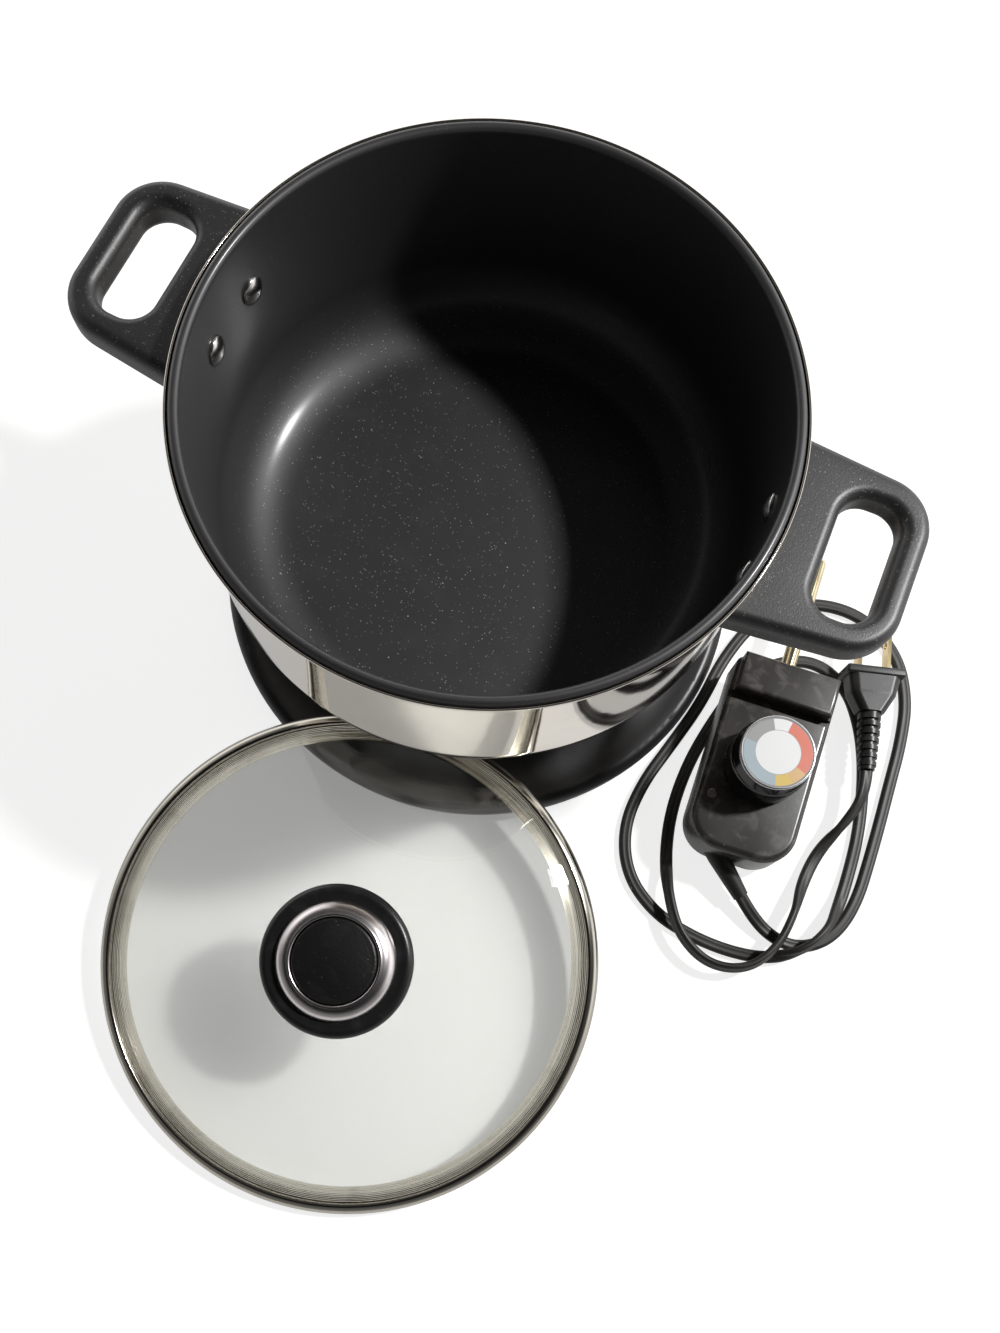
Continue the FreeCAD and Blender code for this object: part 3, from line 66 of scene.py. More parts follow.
def named_finish(name, colour, metallic=0.0, roughness=0.5, **sockets):
    """A material with one shader; values that are the same all over sit on the shader's own sockets."""
    material = bpy.data.materials.new(name)
    material.use_nodes = True
    shader = material.node_tree.nodes["Principled BSDF"]
    shader.inputs["Base Color"].default_value = (*colour, 1.0)
    shader.inputs["Metallic"].default_value = metallic
    shader.inputs["Roughness"].default_value = roughness
    for socket, value in sockets.items():
        shader.inputs[socket.replace("_", " ")].default_value = value
    return material, shader


def soft_lamp(name, direction, distance, size, power):
    """A square lamp at a distance from the pot along a direction, facing back at it."""
    lamp = bpy.data.lights.new(name, "AREA")
    lamp.size = size
    lamp.energy = power
    holder = bpy.data.objects.new(name, lamp)
    holder.location = Vector(direction).normalized() * distance
    holder.rotation_euler = (-Vector(direction)).to_track_quat("-Z", "Y").to_euler()
    bpy.context.scene.collection.objects.link(holder)


soft_lamp("key_lamp", KEY_FROM, KEY_DISTANCE, KEY_SIZE, KEY_POWER)

half = TABLE_SPAN / 2
table_mesh = bpy.data.meshes.new("table_top")
corners = [(-half, -half, 0), (half, -half, 0), (half, half, 0), (-half, half, 0)]
table_mesh.from_pydata(corners, [], [(0, 1, 2, 3)])
table_top = bpy.data.objects.new("table_top", table_mesh)
bpy.context.scene.collection.objects.link(table_top)
table_finish, shader = named_finish("table_paint", TABLE_COLOUR, roughness=0.8)
shader.inputs["Emission Color"].default_value = (1.0, 1.0, 1.0, 1.0)
tree = table_finish.node_tree
rays = tree.nodes.new("ShaderNodeLightPath")
lift_so_far = None
# A ray bent by glass counts as glossy too, so what glossy rays get is taken off again.
for ray, amount in (("Is Camera Ray", LIFT_SEEN), ("Is Glossy Ray", LIFT_REFLECTED),
                    ("Is Transmission Ray", LIFT_THROUGH - LIFT_REFLECTED)):
    lift = tree.nodes.new("ShaderNodeMath")
    lift.operation = "MULTIPLY_ADD"
    lift.inputs[1].default_value = amount
    lift.inputs[2].default_value = 0.0
    tree.links.new(rays.outputs[ray], lift.inputs[0])
    if lift_so_far:
        tree.links.new(lift_so_far.outputs["Value"], lift.inputs[2])
    lift_so_far = lift
tree.links.new(lift_so_far.outputs["Value"], shader.inputs["Emission Strength"])
table_finish.cycles.emission_sampling = "NONE"
table_mesh.materials.append(table_finish)

room = bpy.data.worlds.new("room")
bpy.context.scene.world = room
room.use_nodes = True
tree = room.node_tree
sky = tree.nodes["Background"]
direction = tree.nodes.new("ShaderNodeTexCoord")
way_parts = tree.nodes.new("ShaderNodeSeparateXYZ")
shade = tree.nodes.new("ShaderNodeMapRange")
shade.inputs["From Min"].default_value = WALL_ENDS
shade.inputs["From Max"].default_value = CEILING_STARTS
shade.inputs["To Min"].default_value = ROOM_WALL
shade.inputs["To Max"].default_value = ROOM_TOP
behind = tree.nodes.new("ShaderNodeMapRange")
behind.inputs["From Min"].default_value = FRONT_ENDS
behind.inputs["From Max"].default_value = BACK_STARTS
behind.inputs["To Min"].default_value = FRONT_SHARE
around = tree.nodes.new("ShaderNodeMath")
around.operation = "MULTIPLY"
# The camera, and rays that come through the glass with no other bounce off a matt surface, meet plain white.
rays = tree.nodes.new("ShaderNodeLightPath")
straight = tree.nodes.new("ShaderNodeMath")
straight.operation = "LESS_THAN"
straight.inputs[1].default_value = 0.5
clear_view = tree.nodes.new("ShaderNodeMath")
clear_view.operation = "MULTIPLY"
seen = tree.nodes.new("ShaderNodeMath")
seen.operation = "MAXIMUM"
plain = tree.nodes.new("ShaderNodeMix")
plain.inputs["B"].default_value = 1.0 / ROOM_STRENGTH
tree.links.new(direction.outputs["Generated"], way_parts.inputs["Vector"])
tree.links.new(way_parts.outputs["Z"], shade.inputs["Value"])
tree.links.new(way_parts.outputs["Y"], behind.inputs["Value"])
tree.links.new(shade.outputs["Result"], around.inputs[0])
tree.links.new(behind.outputs["Result"], around.inputs[1])
tree.links.new(rays.outputs["Diffuse Depth"], straight.inputs[0])
tree.links.new(rays.outputs["Is Transmission Ray"], clear_view.inputs[0])
tree.links.new(straight.outputs["Value"], clear_view.inputs[1])
tree.links.new(rays.outputs["Is Camera Ray"], seen.inputs[0])
tree.links.new(clear_view.outputs["Value"], seen.inputs[1])
tree.links.new(seen.outputs["Value"], plain.inputs["Factor"])
tree.links.new(around.outputs["Value"], plain.inputs["A"])
tree.links.new(plain.outputs["Result"], sky.inputs["Color"])
sky.inputs["Strength"].default_value = ROOM_STRENGTH

# The camera.
# It stands above the lid and looks steeply down, a little turned, with the frame shifted up as in the
# photograph. Its focal length and shift are in picture points of a frame 1333 high.
CAMERA_AT = (0.0753, -0.2036, 0.4513)
CAMERA_YAW = 18.0
CAMERA_DOWN = 80.65
CAMERA_ROLL = 5.65
FOCAL_PIXELS = 1035.0
FRAME_LONG_SIDE = 1333.0
SENSOR = 36.0
CENTRE_SHIFT = (33.0, 217.5)

yaw, down, roll = (math.radians(v) for v in (CAMERA_YAW, CAMERA_DOWN, CAMERA_ROLL))
right = np.array([math.cos(yaw), math.sin(yaw), 0.0])
ahead = np.array([-math.sin(yaw) * math.cos(down), math.cos(yaw) * math.cos(down), -math.sin(down)])
above = np.cross(right, ahead)
turned_right = math.cos(roll) * right + math.sin(roll) * above
turned_above = -math.sin(roll) * right + math.cos(roll) * above
camera_data = bpy.data.cameras.new("camera")
camera_data.sensor_width = SENSOR
camera_data.lens = SENSOR * FOCAL_PIXELS / FRAME_LONG_SIDE
camera_data.shift_x = CENTRE_SHIFT[0] / FRAME_LONG_SIDE
camera_data.shift_y = CENTRE_SHIFT[1] / FRAME_LONG_SIDE
camera_data.clip_start = 0.01
camera = bpy.data.objects.new("camera", camera_data)
turn = np.identity(4)
turn[:3, 0] = turned_right
turn[:3, 1] = turned_above
turn[:3, 2] = -ahead
turn[:3, 3] = CAMERA_AT
camera.matrix_world = Matrix(turn.tolist())
bpy.context.scene.collection.objects.link(camera)
bpy.context.scene.camera = camera
bpy.context.scene.view_settings.view_transform = "Standard"

# The polished wall.
# A drawn stainless steel pot, mirror polished outside, whose lip is rolled out to carry the pan's bead.
# It has the faint waviness that polishing leaves.
WALL_LINE = [(0, 47.0), (77.4, 47.0), (97.906, 55.494, 1), (106.4, 76.0), (106.4, 129.2), (106.9, 131.0, 1),
             (108.2, 132.3), (108.8, 133.2, 1), (109.0, 134.3), (108.6, 135.0, 1), (108.2, 134.6),
             (107.9, 133.1, 1), (105.6, 130.8), (105.6, 76.0), (97.34, 56.06, 1), (77.4, 47.8), (0, 47.8)]
# Its warm tint is partly painted reflection, and its slightly darker hazy patches are partly smudges and
# partly painted reflection.
STEEL_COLOUR = (0.88, 0.82, 0.74)
HAZE_AND_REFLECTION_COLOUR = (0.83, 0.775, 0.70)


def bend(a, b, c, count):
    """Points of the circle through a, b and c, at equal steps of angle about its centre, from a to c."""
    a, b, c = (np.array(p[:2], float) for p in (a, b, c))
    centre = np.linalg.solve(2.0 * np.array([b - a, c - a]), [b @ b - a @ a, c @ c - a @ a])
    start, middle, end = (math.atan2(p[1] - centre[1], p[0] - centre[0]) for p in (a, b, c))
    sweep = (end - start) % (2.0 * math.pi)
    if (middle - start) % (2.0 * math.pi) > sweep:
        sweep -= 2.0 * math.pi
    angle = start + sweep * np.linspace(0.0, 1.0, count)
    return centre + np.linalg.norm(a - centre) * np.stack([np.cos(angle), np.sin(angle)], axis=-1)


def section(points, count=12):
    """Runs and arcs of a section: a third number marks the middle of an arc through its neighbours."""
    line = [np.array([points[0][:2]], float)]
    for before, point, after in zip(points, points[1:], points[2:]):
        if len(point) == 3:
            line.append(bend(before, point, after, count)[1:])
        elif len(before) == 2:
            line.append(np.array([point], float))
    if len(points[-2]) == 2:
        line.append(np.array([points[-1]], float))
    return np.concatenate(line)


def grid_piece(name, grid, wraps, sharp=38.0):
    """A piece whose points are a grid; each face joins a point to its next neighbours both ways."""
    index = np.arange(grid.shape[0] * grid.shape[1]).reshape(grid.shape[:2])
    along, across = np.roll(index, -1, axis=1), np.roll(index, -1, axis=0)
    quads = np.stack([index, along, np.roll(along, -1, axis=0), across], axis=-1)
    quads = quads[:None if wraps[0] else -1, :None if wraps[1] else -1]
    mesh = bpy.data.meshes.new(name)
    mesh.from_pydata(grid.reshape(-1, 3).tolist(), [], quads.reshape(-1, 4).tolist())
    work = bmesh.new()
    work.from_mesh(mesh)
    bmesh.ops.remove_doubles(work, verts=work.verts, dist=1e-7)
    bmesh.ops.recalc_face_normals(work, faces=work.faces)
    work.to_mesh(mesh)
    work.free()
    mesh.shade_smooth()
    mesh.set_sharp_from_angle(angle=math.radians(sharp))
    piece = bpy.data.objects.new(name, mesh)
    bpy.context.scene.collection.objects.link(piece)
    return piece


def turned(name, line, place=None, steps=256, ring=False):
    """A section in millimetres carried once round: x = r cos t, y = r sin t, z = h, then put in place."""
    radius, level = np.asarray(line, float).T / 1000.0
    t = np.linspace(0.0, 2.0 * np.pi, steps, endpoint=False)[:, None]
    grid = np.stack([radius * np.cos(t), radius * np.sin(t), level + 0.0 * t], axis=-1)
    return grid_piece(name, grid if place is None else place(grid), (True, ring))


def fit(piece, material, slot, body, *stands_for):
    """The piece gets its finish, moves with its body and stands for the frame's own solids."""
    piece.data.materials.append(material)
    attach(piece, body)
    if stands_for:
        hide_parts(*stands_for)


def effect(name, inputs, outputs):
    """An empty shader node group with named number inputs and outputs."""
    group = bpy.data.node_groups.new(name, "ShaderNodeTree")
    for label, value in inputs.items():
        socket = group.interface.new_socket(name=label, in_out="INPUT", socket_type="NodeSocketFloat")
        socket.default_value = value
    for label in outputs:
        group.interface.new_socket(name=label, in_out="OUTPUT", socket_type="NodeSocketFloat")
    return group, group.nodes.new("NodeGroupInput"), group.nodes.new("NodeGroupOutput")


def sum_node(group, operation, first, second):
    """One arithmetic node whose inputs are sockets or plain numbers."""
    node = group.nodes.new("ShaderNodeMath")
    node.operation = operation
    for socket, value in zip(node.inputs, (first, second)):
        if isinstance(value, (int, float)):
            socket.default_value = value
        else:
            group.links.new(value, socket)
    return node.outputs["Value"]


# Grain: fine height for a bump, and slow patches that vary the gloss.
GRAIN, enter, leave = effect("moulded_grain", {"Size": 0.5, "Patch": 25.0}, ("Height", "Patches"))
where = GRAIN.nodes.new("ShaderNodeTexCoord")
for size, label, detail in (("Size", "Height", 2.0), ("Patch", "Patches", 3.0)):
    cloud = GRAIN.nodes.new("ShaderNodeTexNoise")
    cloud.inputs["Detail"].default_value = detail
    GRAIN.links.new(where.outputs["Object"], cloud.inputs["Vector"])
    GRAIN.links.new(sum_node(GRAIN, "DIVIDE", 1000.0, enter.outputs[size]), cloud.inputs["Scale"])
    GRAIN.links.new(cloud.outputs["Fac"], leave.inputs[label])

# Flecks: small round light specks in a share of the cells, each with its own brightness.
FLECKS, enter, leave = effect("light_flecks", {"Size": 1.0, "Share": 0.1, "Radius": 0.3}, ("Mask",))
where = FLECKS.nodes.new("ShaderNodeTexCoord")
cells = FLECKS.nodes.new("ShaderNodeTexVoronoi")
lot = FLECKS.nodes.new("ShaderNodeSeparateColor")
FLECKS.links.new(where.outputs["Object"], cells.inputs["Vector"])
FLECKS.links.new(sum_node(FLECKS, "DIVIDE", 1000.0, enter.outputs["Size"]), cells.inputs["Scale"])
FLECKS.links.new(cells.outputs["Color"], lot.inputs["Color"])
near = sum_node(FLECKS, "LESS_THAN", cells.outputs["Distance"], enter.outputs["Radius"])
picked = sum_node(FLECKS, "LESS_THAN", lot.outputs["Red"], enter.outputs["Share"])
bright = sum_node(FLECKS, "MULTIPLY", near, lot.outputs["Green"])
FLECKS.links.new(sum_node(FLECKS, "MULTIPLY", bright, picked), leave.inputs["Mask"])

# Handling marks, partly painted sheen on some finishes: cloudy smudges where the noise is high, from none to
# full.
SMUDGES_AND_SHEEN, enter, leave = effect("handling_marks_and_sheen", {"Size": 12.0, "Low": 0.52, "High": 0.75}, ("Mask",))
where = SMUDGES_AND_SHEEN.nodes.new("ShaderNodeTexCoord")
cloud = SMUDGES_AND_SHEEN.nodes.new("ShaderNodeTexNoise")
cloud.inputs["Detail"].default_value = 6.0
cloud.inputs["Distortion"].default_value = 0.6
spread = SMUDGES_AND_SHEEN.nodes.new("ShaderNodeMapRange")
SMUDGES_AND_SHEEN.links.new(where.outputs["Object"], cloud.inputs["Vector"])
SMUDGES_AND_SHEEN.links.new(sum_node(SMUDGES_AND_SHEEN, "DIVIDE", 1000.0, enter.outputs["Size"]), cloud.inputs["Scale"])
SMUDGES_AND_SHEEN.links.new(cloud.outputs["Fac"], spread.inputs["Value"])
SMUDGES_AND_SHEEN.links.new(enter.outputs["Low"], spread.inputs["From Min"])
SMUDGES_AND_SHEEN.links.new(enter.outputs["High"], spread.inputs["From Max"])
SMUDGES_AND_SHEEN.links.new(spread.outputs["Result"], leave.inputs["Mask"])


def place_effect(material, group, **values):
    """One of the shared effects in a material, with this material's own values."""
    node = material.node_tree.nodes.new("ShaderNodeGroup")
    node.node_tree = group
    for label, value in values.items():
        node.inputs[label].default_value = value
    return node


def gloss_between(material, shader, mask, low, high):
    """Roughness from low to high as a mask goes from none to full."""
    spread = material.node_tree.nodes.new("ShaderNodeMapRange")
    spread.inputs["To Min"].default_value = low
    spread.inputs["To Max"].default_value = high
    material.node_tree.links.new(mask, spread.inputs["Value"])
    material.node_tree.links.new(spread.outputs["Result"], shader.inputs["Roughness"])


def raised(material, shader, height, depth):
    """A bump whose full height is depth millimetres."""
    bump = material.node_tree.nodes.new("ShaderNodeBump")
    bump.inputs["Distance"].default_value = depth / 1000.0
    material.node_tree.links.new(height, bump.inputs["Height"])
    material.node_tree.links.new(bump.outputs["Normal"], shader.inputs["Normal"])


def tinted(material, shader, mask, plain, other):
    """Base colour from plain to other as a mask fills; gives the mixed colour, for a further tint on it."""
    mix = material.node_tree.nodes.new("ShaderNodeMix")
    mix.data_type = "RGBA"
    mix.inputs["B"].default_value = (*other, 1.0)
    if isinstance(plain, tuple):
        mix.inputs["A"].default_value = (*plain, 1.0)
    else:
        material.node_tree.links.new(plain, mix.inputs["A"])
    material.node_tree.links.new(mask, mix.inputs["Factor"])
    material.node_tree.links.new(mix.outputs["Result"], shader.inputs["Base Color"])
    return mix.outputs["Result"]


def worked(name, colour, other, grain=0.5, depth=0.02, gloss=(0.3, 0.4), marks=14.0, **sockets):
    """A finish with grain, gloss that varies in patches, and in a second colour handling marks, partly
    painted sheen on some.
    """
    material, shader = named_finish(name, colour, **sockets)
    surface = place_effect(material, GRAIN, Size=grain)
    smudge_and_sheen = place_effect(material, SMUDGES_AND_SHEEN, Size=marks)
    raised(material, shader, surface.outputs["Height"], depth)
    gloss_between(material, shader, surface.outputs["Patches"], *gloss)
    tint = tinted(material, shader, smudge_and_sheen.outputs["Mask"], colour, other)
    return material, shader, tint


def flecked(material, shader, tint, colour, size, share, radius):
    """Light flecks laid over a finish; their size is that of a cell, in millimetres."""
    specks = place_effect(material, FLECKS, Size=size, Share=share, Radius=radius)
    return tinted(material, shader, specks.outputs["Mask"], tint, colour)


mirror_steel, *_ = worked("mirror_steel", STEEL_COLOUR, HAZE_AND_REFLECTION_COLOUR, grain=22.0, depth=0.05,
                          gloss=(0.03, 0.08), marks=30.0, metallic=1.0)
fit(turned("steel_wall", section(WALL_LINE)), mirror_steel, "polished_steel", "pot", "outer_shell")

# The coated pan.
# A pressed aluminium pan with a black nonstick coat that holds fine light flecks. Its rim is rolled into a
# bead that lies on the wall's lip.
PAN_LINE = [(0, 47.9), (77.4, 47.9), (97.27, 56.13, 1), (105.5, 76.0), (105.5, 132.01),
            (107.114, 135.414, 1), (103.7, 134.0), (103.7, 76.0), (95.997, 57.403, 1), (77.4, 49.7),
            (0, 49.7)]
COAT_COLOUR = (0.018, 0.017, 0.0178)
COAT_WORN = (0.026, 0.025, 0.025)
FLECK_COLOUR = (0.55, 0.53, 0.51)
FLECKS_THIN_FROM = 0.050
FLECKS_THIN_TO = 0.066
FLECKS_HIDDEN = 0.88

nonstick, shader, tint = worked("nonstick_coat", COAT_COLOUR, COAT_WORN, grain=0.7, depth=0.012,
                                gloss=(0.50, 0.58), Specular_IOR_Level=0.85, Coat_Weight=0.45,
                                Coat_Roughness=0.21)
tint = flecked(nonstick, shader, tint, FLECK_COLOUR, size=0.9, share=0.22, radius=0.22)
tint = flecked(nonstick, shader, tint, FLECK_COLOUR, size=2.4, share=0.10, radius=0.12)

# The flecks fade out above the floor, so the wall has hardly any.
where = nonstick.node_tree.nodes.new("ShaderNodeTexCoord")
height = nonstick.node_tree.nodes.new("ShaderNodeSeparateXYZ")
upwards = nonstick.node_tree.nodes.new("ShaderNodeMapRange")
upwards.inputs["From Min"].default_value = FLECKS_THIN_FROM
upwards.inputs["From Max"].default_value = FLECKS_THIN_TO
upwards.inputs["To Max"].default_value = FLECKS_HIDDEN
nonstick.node_tree.links.new(where.outputs["Object"], height.inputs["Vector"])
nonstick.node_tree.links.new(height.outputs["Z"], upwards.inputs["Value"])
tinted(nonstick, shader, upwards.outputs["Result"], tint, COAT_COLOUR)
fit(turned("coated_pan", section(PAN_LINE, 20)), nonstick, "nonstick", "pot", "inner_pan")

# The heater.
# A cast aluminium spreader with a sheathed ring element pressed in its groove, plated pins in a ceramic
# plate, a drawn guide tube for the probe, and the stud, nut and screws that hold the base up.


def dress(material, *names, sharp=34.0):
    """A frame node keeps its shape: points welded, edges split where it turns sharply, and its own finish."""
    for name in names:
        node = nodes[name]
        node.data.shade_smooth()
        weld = node.modifiers.new("weld", "WELD")
        weld.merge_threshold = 1e-6
        split = node.modifiers.new("split", "EDGE_SPLIT")
        split.split_angle = math.radians(sharp)
        node.data.materials.clear()
        node.data.materials.append(material)


cast_aluminium, *_ = worked("cast_aluminium", (0.60, 0.60, 0.61), (0.45, 0.44, 0.43), grain=1.2, depth=0.08,
                            gloss=(0.38, 0.55), metallic=1.0)
blued_sheath, *_ = worked("blued_sheath", (0.30, 0.28, 0.27), (0.20, 0.17, 0.16), grain=0.8,
                          gloss=(0.35, 0.5), metallic=1.0)
plated_pin, *_ = worked("plated_pin", (0.72, 0.69, 0.62), (0.55, 0.52, 0.46), grain=0.4, depth=0.01,
                        gloss=(0.15, 0.3), metallic=1.0)
ceramic, *_ = worked("fired_ceramic", (0.74, 0.70, 0.62), (0.62, 0.57, 0.50), grain=0.3, depth=0.03,
                     gloss=(0.6, 0.75))
drawn_steel, *_ = worked("drawn_steel", (0.55, 0.54, 0.53), (0.42, 0.41, 0.40), grain=0.6,
                         gloss=(0.25, 0.4), metallic=1.0)
zinc_screw, *_ = worked("zinc_screw", (0.58, 0.58, 0.59), (0.44, 0.43, 0.41), grain=0.5, gloss=(0.25, 0.42),
                        metallic=1.0)
dress(cast_aluminium, "heat_spreader")
dress(blued_sheath, "heating_element")
dress(plated_pin, "terminal_pins", "terminal_sockets")
dress(ceramic, "terminal_insulator", "terminal_block")
dress(drawn_steel, "probe_sleeve")
dress(zinc_screw, "base_screws", "centre_stud", "centre_nut", "left_handle_screw", "right_handle_screw",
      "knob_screw", "control_screws")

# The rivets and brackets.
# Domed steel rivets hold a folded steel bracket against the wall on each side.
rivet_steel, *_ = worked("rivet_steel", (0.66, 0.64, 0.62), (0.48, 0.46, 0.44), grain=1.5, depth=0.02,
                         gloss=(0.14, 0.28), metallic=1.0)
folded_steel, *_ = worked("folded_steel", (0.55, 0.55, 0.55), (0.42, 0.41, 0.40), grain=0.7,
                          gloss=(0.3, 0.45), metallic=1.0)
dress(rivet_steel, "left_rivets", "right_rivets", sharp=50.0)
dress(folded_steel, "left_handle_bracket", "right_handle_bracket", "thermostat_frame")

# The base.
# One black phenolic moulding: a neck under the pot, a flare and a wide rounded foot, with the inlet's shroud
# in the neck. A painted plate and four rubber feet close it below, and a soft seal ring lies on the neck.
base_black, shader, tint = worked("base_black", (0.016, 0.0155, 0.0165), (0.028, 0.027, 0.028), grain=0.45,
                                  depth=0.02, gloss=(0.30, 0.42), marks=22.0)
flecked(base_black, shader, tint, (0.10, 0.10, 0.105), size=1.1, share=0.10, radius=0.18)
plate_paint, *_ = worked("plate_paint", (0.030, 0.030, 0.032), (0.05, 0.05, 0.05), grain=0.6,
                         gloss=(0.4, 0.55))
seal_rubber, *_ = worked("seal_rubber", (0.035, 0.035, 0.036), (0.06, 0.06, 0.06), grain=0.4, depth=0.03,
                         gloss=(0.55, 0.7))
foot_rubber, *_ = worked("foot_rubber", (0.025, 0.025, 0.025), (0.05, 0.048, 0.045), grain=0.4, depth=0.03,
                         gloss=(0.6, 0.75))
dress(base_black, "base_shell", "inlet_guard")
dress(plate_paint, "base_plate")
dress(seal_rubber, "base_gasket", "knob_washer")
dress(foot_rubber, "feet")

# The handles.
# Heat-proof black phenolic with a sandy speckle: a flat web against the wall and a rounded loop to grip.
handle_black, shader, tint = worked("handle_black", (0.012, 0.0113, 0.0117), (0.020, 0.019, 0.0185),
                                    grain=0.55, depth=0.05, gloss=(0.40, 0.48), marks=18.0,
                                    Specular_IOR_Level=0.9)
tint = flecked(handle_black, shader, tint, (0.20, 0.19, 0.18), size=0.9, share=0.35, radius=0.26)
flecked(handle_black, shader, tint, (0.40, 0.38, 0.36), size=2.0, share=0.14, radius=0.12)
dress(handle_black, "left_handle", "right_handle")

# The lid.
# Domed tempered glass, a little green, crimped in a rolled stainless ring with fine ridges.
# It lies on the table with the edge towards the pot raised, so every piece of it is made flat and then
# leaned.
LID_AWAY = 0.1858
LID_WAY = math.radians(-83.7)
LID_LEAN = math.radians(5.8)
LID_CLEAR = 0.3
RING_R = 105.1
SKIRT_R = RING_R - 8.2
lid_up = (LID_CLEAR + SKIRT_R * math.sin(LID_LEAN)) / 1000.0
LID_AT = np.array([LID_AWAY * math.cos(LID_WAY), LID_AWAY * math.sin(LID_WAY), lid_up])
GLASS_R = RING_R - 2.6
GLASS_RISE = 19.0
DOME_R = (GLASS_R ** 2 + GLASS_RISE ** 2) / (2.0 * GLASS_RISE)
DOME_TOP = 24.8
GLASS_T = 4.0
GLASS_HOLE_R = 2.65
GLASS_MID_R = 56.4


def in_lid(grid):
    """Turns points about a level axis through the lid's middle, far edge down, then moves them there."""
    away = LID_AT * (1.0, 1.0, 0.0)
    away = away / np.linalg.norm(away)
    axis = np.cross((0.0, 0.0, 1.0), away)
    cos, sin = math.cos(LID_LEAN), math.sin(LID_LEAN)
    turned_grid = grid * cos + np.cross(axis, grid) * sin + (grid @ axis)[..., None] * axis * (1.0 - cos)
    return turned_grid + LID_AT


def dome(radius, drop=0.0):
    """Height of the glass at a radius: the top less the fall of a ball of the dome's radius, less a drop."""
    return DOME_TOP - DOME_R + math.sqrt(DOME_R ** 2 - radius ** 2) - drop


GLASS_LINE = [(GLASS_HOLE_R, dome(GLASS_HOLE_R)), (GLASS_MID_R, dome(GLASS_MID_R), 1),
              (GLASS_R - 0.6, dome(GLASS_R - 0.6)), (GLASS_R, dome(GLASS_R) - 0.7, 1),
              (GLASS_R, dome(GLASS_R) - 2.8), (GLASS_R - 0.6, dome(GLASS_R) - 3.5, 1),
              (GLASS_R - 1.4, dome(GLASS_R, 3.5)), (GLASS_MID_R, dome(GLASS_MID_R, 3.8), 1),
              (GLASS_HOLE_R, dome(GLASS_HOLE_R, GLASS_T))]
lid_edge = dome(GLASS_R)
lip_in = RING_R - 4.9
lip_low = dome(lip_in) + 0.15
LIP_LINE = [(lip_in, lip_low), (lip_in, lip_low + 0.3), (lip_in + 0.5, lip_low + 1.0, 1),
            (lip_in + 1.4, lip_low + 1.2), (lip_in + 1.9, lip_low + 0.95),
            (lip_in + 3.3, lid_edge + 1.25, 1), (RING_R, lid_edge - 0.9), (RING_R, 2.05),
            (RING_R - 0.3, 1.35, 1), (RING_R - 1.0, 1.05), (RING_R - 3.0, 1.05)]
LID_SKIRT_LINE = [(SKIRT_R + 0.6, 2.9), (SKIRT_R + 0.6, 0.6), (SKIRT_R, 0.0, 1), (SKIRT_R - 0.6, 0.6),
                  (SKIRT_R - 0.6, 2.9)]
flange_low = lid_edge - 3.75
FLANGE_SLOPE = 0.32
RIDGE_DEPTH = 0.12
RIDGE_STEP = 1.45
flange_out = GLASS_R + 0.15
flange_r = np.linspace(RING_R - 12.0, GLASS_R - 1.4, 49)
ridges = RIDGE_DEPTH * np.cos(flange_r * 2.0 * np.pi / RIDGE_STEP) ** 8
flange_z = flange_low + FLANGE_SLOPE * (flange_out - flange_r) - ridges
flange_end = [(flange_out, flange_low), (flange_out, lid_edge + 0.15), (lip_in, lip_low)]
flange_in = [(flange_r[0], flange_z[0] - 0.9)]
flange_face = np.stack([flange_r, flange_z], axis=-1)
ring_runs = [section(LIP_LINE), section(LID_SKIRT_LINE), flange_in, flange_face, flange_end]
RING_SECTION = np.concatenate(ring_runs)

lid_pane, shader = named_finish("lid_pane", (0.965, 0.972, 0.955), roughness=0.0, IOR=1.46,
                                Transmission_Weight=1.0)
tree = lid_pane.node_tree
# To shadow rays the glass is a plain clear filter, so it throws only a faint shadow.
rays = tree.nodes.new("ShaderNodeLightPath")
clear = tree.nodes.new("ShaderNodeBsdfTransparent")
clear.inputs["Color"].default_value = (0.90, 0.905, 0.89, 1.0)
through = tree.nodes.new("ShaderNodeMixShader")
tree.links.new(rays.outputs["Is Shadow Ray"], through.inputs["Fac"])
tree.links.new(shader.outputs["BSDF"], through.inputs[1])
tree.links.new(clear.outputs["BSDF"], through.inputs[2])
tree.links.new(through.outputs["Shader"], tree.nodes["Material Output"].inputs["Surface"])
ring_steel, *_ = worked("ring_steel", (0.52, 0.49, 0.43), (0.38, 0.35, 0.30), grain=9.0, depth=0.02,
                        gloss=(0.10, 0.20), marks=26.0, metallic=1.0)
fit(turned("domed_glass", section(GLASS_LINE, 24), in_lid, ring=True), lid_pane, "glass", "lid", "lid_glass")
fit(turned("rolled_ring", RING_SECTION, in_lid, ring=True), ring_steel, "ring_steel", "lid", "lid_ring")

